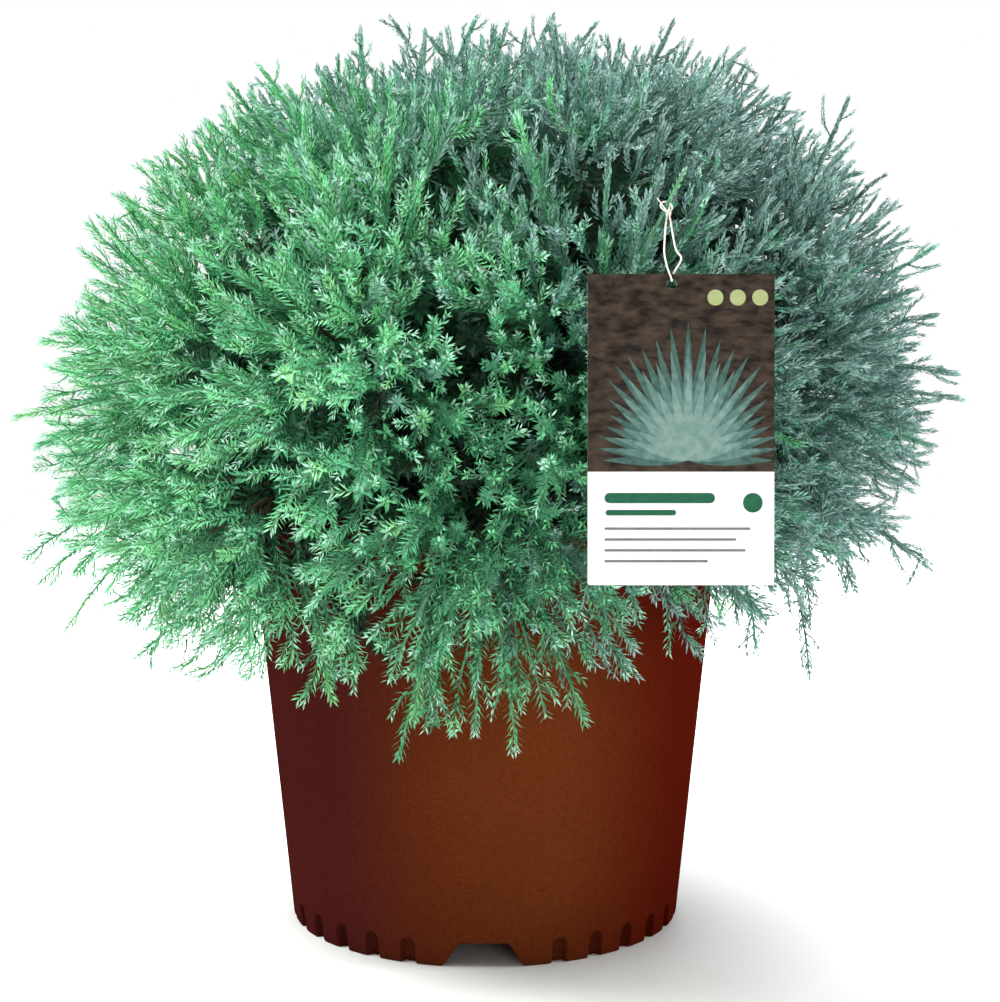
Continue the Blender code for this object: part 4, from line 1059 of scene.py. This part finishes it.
card_corners = rounded(CARD_WIDTH / 2, CARD_HEIGHT / 2, CARD_CORNER)
printed = CARD_THICKNESS / 2 - PRINT_RISE * 3
card_white = coat("card_white", (0.84, 0.84, 0.83), (0.90, 0.90, 0.89), 35.0, 0.32, 1400.0, 0.00002)
card = piece("tag_card_face", *punched(sampled(card_corners), -printed, printed), card_white, smooth=False)
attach(card, "root")
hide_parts("tag_card")

PANEL_SHARE = 0.635
panel_foot = CARD_HEIGHT / 2 - CARD_HEIGHT * PANEL_SHARE
lower_corners = [[-CARD_WIDTH / 2, panel_foot], [CARD_WIDTH / 2, panel_foot]]
panel_outline = sampled(np.concatenate([card_corners[:14], lower_corners]))
panel_brown = coat("panel_brown", (0.010, 0.007, 0.005), (0.060, 0.041, 0.028), 260.0, 0.6,
                   stretch=(0.6, 1.0, 1.4), shine=PRINT_SHINE)
panel = piece("tag_panel", *punched(panel_outline, printed, printed + PRINT_RISE), panel_brown, smooth=False)


def blade(foot, tip, width):
    """A leaf's outline: two bows from foot to tip, widest a little below the middle."""
    t = np.linspace(0.0, 1.0, 15)
    half = width * np.sin(math.pi * t**0.8) ** 0.9
    along = tip - foot
    across = unit(np.array([along[1], -along[0]]))
    middle = foot + along * t[:, None]
    return np.concatenate([middle + across * half[:, None], (middle - across * half[:, None])[-2:0:-1]])


def bar(middle, half_width, half_height):
    """A bar with round ends."""
    return rounded(half_width, half_height, min(half_width, half_height) * 0.98, 4) + np.asarray(middle)


FAN_FOOT = np.array([0.003, -0.013])
FANS = (  # blades, reach, half width, half spread in degrees
    (25, 0.044, 0.0023, 90.0),
    (19, 0.037, 0.0021, 82.0),
    (13, 0.028, 0.0020, 72.0),
)
fans = []
for count, length, width, half_spread in FANS:
    turns = np.radians(np.linspace(-half_spread, half_spread, count))
    lengths = length * (0.82 + 0.46 * np.cos(turns) ** 2 + 0.06 * np.cos(turns * 9))
    blade_tips = FAN_FOOT + lengths[:, None] * np.stack([np.sin(turns), np.cos(turns)], axis=1)
    fans.append([blade(FAN_FOOT, tip, width) for tip in blade_tips])
dots = [rounded(0.0034, 0.0034, 0.0033, 5) + np.array([0.0335 - 0.0095 * k, 0.0560]) for k in range(3)]
title = [bar((-0.009, -0.0290), 0.0235, 0.0022), bar((-0.017, -0.0352), 0.0150, 0.0012)]
half_rules = (0.031, 0.028, 0.030, 0.022)
rules = [bar((half - 0.0325, -0.0420 - 0.0046 * k), half, 0.00055) for k, half in enumerate(half_rules)]
round_mark = [rounded(0.0042, 0.0042, 0.0041, 6) + np.array([0.0305, -0.0310])]
PRINTS = (  # name, outlines, darker tone, lighter tone, layers of print beneath it
    ("tag_fan_back", fans[0], (0.030, 0.080, 0.068), (0.070, 0.145, 0.125), 1.0),
    ("tag_fan_middle", fans[1], (0.070, 0.155, 0.135), (0.135, 0.240, 0.215), 1.4),
    ("tag_fan_front", fans[2], (0.130, 0.235, 0.210), (0.210, 0.320, 0.290), 1.8),
    ("tag_dots", dots, (0.350, 0.400, 0.170), (0.400, 0.450, 0.220), 1.0),
    ("tag_title", title + round_mark, (0.010, 0.095, 0.050), (0.016, 0.120, 0.064), 0.0),
    ("tag_rules", rules, (0.150, 0.155, 0.155), (0.190, 0.195, 0.195), 0.0),
)
prints = [panel]
for name, outlines, dark, light, beneath in PRINTS:
    ink = coat(name, dark, light, 300.0, 0.4, shine=PRINT_SHINE)
    low = printed + PRINT_RISE * beneath
    plates = [plate(flat, low, low + PRINT_RISE * (0.4 + 0.01 * k)) for k, flat in enumerate(outlines)]
    prints.append(piece(name, *joined(plates), ink, smooth=False))
for made in prints:
    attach(made, "root")

# The card hangs on a loop of thin elastic cord that passes through the punched hole and is knotted above it.
# A small eye of the same cord rides on a green shoot, and two short ends stand up from the knot.

CORD_RADIUS = 0.0004
LOOP_HALF_WIDTH = 0.0024
EYE_RADIUS = 0.0026
EYE_SAG = 0.0001
KNOT_RADIUS = 0.0015
CORD_SIDES = 8
LOOP_BY_HOLE = (  # millimetres from the hole's middle: across the card, up it, out of its front
    (3.8, 10.5, 2.5), (1.4, 5.6, -1.4), (0.3, 2.6, -1.6), (0.1, 1.5, -0.9),
    (0.0, 1.3, 0.0), (-0.1, 1.5, 0.9), (-0.6, 2.8, 1.7), (-2.6, 7.5, 4.6),
)


def smooth_path(corners, steps, closed):
    """A curve through corners, each stretch a cubic that shares its neighbours' slopes."""
    corners = np.asarray(corners)
    if closed:
        before, after, beyond = (np.roll(corners, -k, axis=0) for k in (-1, 1, 2))
        here = corners
    else:
        first, last = corners[:1] * 2 - corners[1:2], corners[-1:] * 2 - corners[-2:-1]
        padded = np.concatenate([first, corners, last])
        before, here, after, beyond = padded[:-3], padded[1:-2], padded[2:-1], padded[3:]
    t = np.arange(steps)[:, None, None] / steps
    found = here + 0.5 * t * (after - before + t * (
        2 * before - 5 * here + 4 * after - beyond + t * (3 * (here - after) + beyond - before)))
    found = found.transpose(1, 0, 2).reshape(-1, 3)
    return found if closed else np.concatenate([found, corners[-1:]])


def ring_tube(path, radius):
    """A tube round a closed path, its rings square to the path."""
    ahead = unit(np.roll(path, -1, axis=0) - np.roll(path, 1, axis=0))
    normal = unit(np.sum(np.cross(path - path.mean(axis=0), ahead), axis=0))
    side = unit(np.cross(ahead, normal))
    other, turns = np.cross(ahead, side), full_turn(CORD_SIDES)[:, None]
    spokes = np.cos(turns) * side[:, None] + np.sin(turns) * other[:, None]
    return closed_grid(path[:, None] + radius * spokes)


hanger_points = bend(*hanger, 9)[0]
along = unit(hanger_points[-2] - hanger_points[-4])
lowest = unit(-UP + np.dot(UP, along) * along)
eye_middle = HANGER_POINT + lowest * EYE_SAG
knot = eye_middle + lowest * (EYE_RADIUS + KNOT_RADIUS * 0.6)
hole_place = on_card(HOLE_MIDDLE, 0.0)
half_way = (knot + hole_place) / 2
by_hole = [hole_place + (aside * a + upward * u + outward * o) / 1000 for a, u, o in LOOP_BY_HOLE]
by_hole = [half_way + aside * LOOP_HALF_WIDTH, *by_hole, half_way - aside * LOOP_HALF_WIDTH]
loop = smooth_path([knot, *by_hole], 14, True)
turns = full_turn(40)[:, None]
eye = eye_middle + EYE_RADIUS * (np.cos(turns) * lowest + np.sin(turns) * np.cross(along, lowest))
knot_turns = np.linspace(0.0, 2 * math.tau, 60, endpoint=False)[:, None]
wound = 0.00075 + 0.00025 * np.cos(knot_turns * 1.5)
tie = knot + wound * (np.cos(knot_turns) * aside + np.sin(knot_turns) * np.cross(aside, lowest))
tie = tie + lowest * 0.0007 * np.sin(knot_turns * 1.5)
cord_parts = [ring_tube(loop, CORD_RADIUS), ring_tube(eye, CORD_RADIUS), ring_tube(tie, CORD_RADIUS * 1.1)]
for x in (0.0011, -0.0014):
    middle = knot + (aside * x - lowest * 0.003 + outward * 0.0012)
    tail = smooth_path([knot, middle, knot + aside * x * 2.4 - lowest * 0.0075 + outward * 0.002], 8, False)
    cord_parts.append(limbs(tail[None], np.linspace(CORD_RADIUS * 0.9, CORD_RADIUS * 0.7, len(tail)), 6))
cord_white = coat("cord_white", (0.70, 0.68, 0.60), (0.82, 0.80, 0.72), 900.0, 0.55, 2500.0, 0.00008)
cord = piece("tag_cord", *joined(cord_parts), cord_white)
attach(cord, "root")
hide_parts("tag_string")
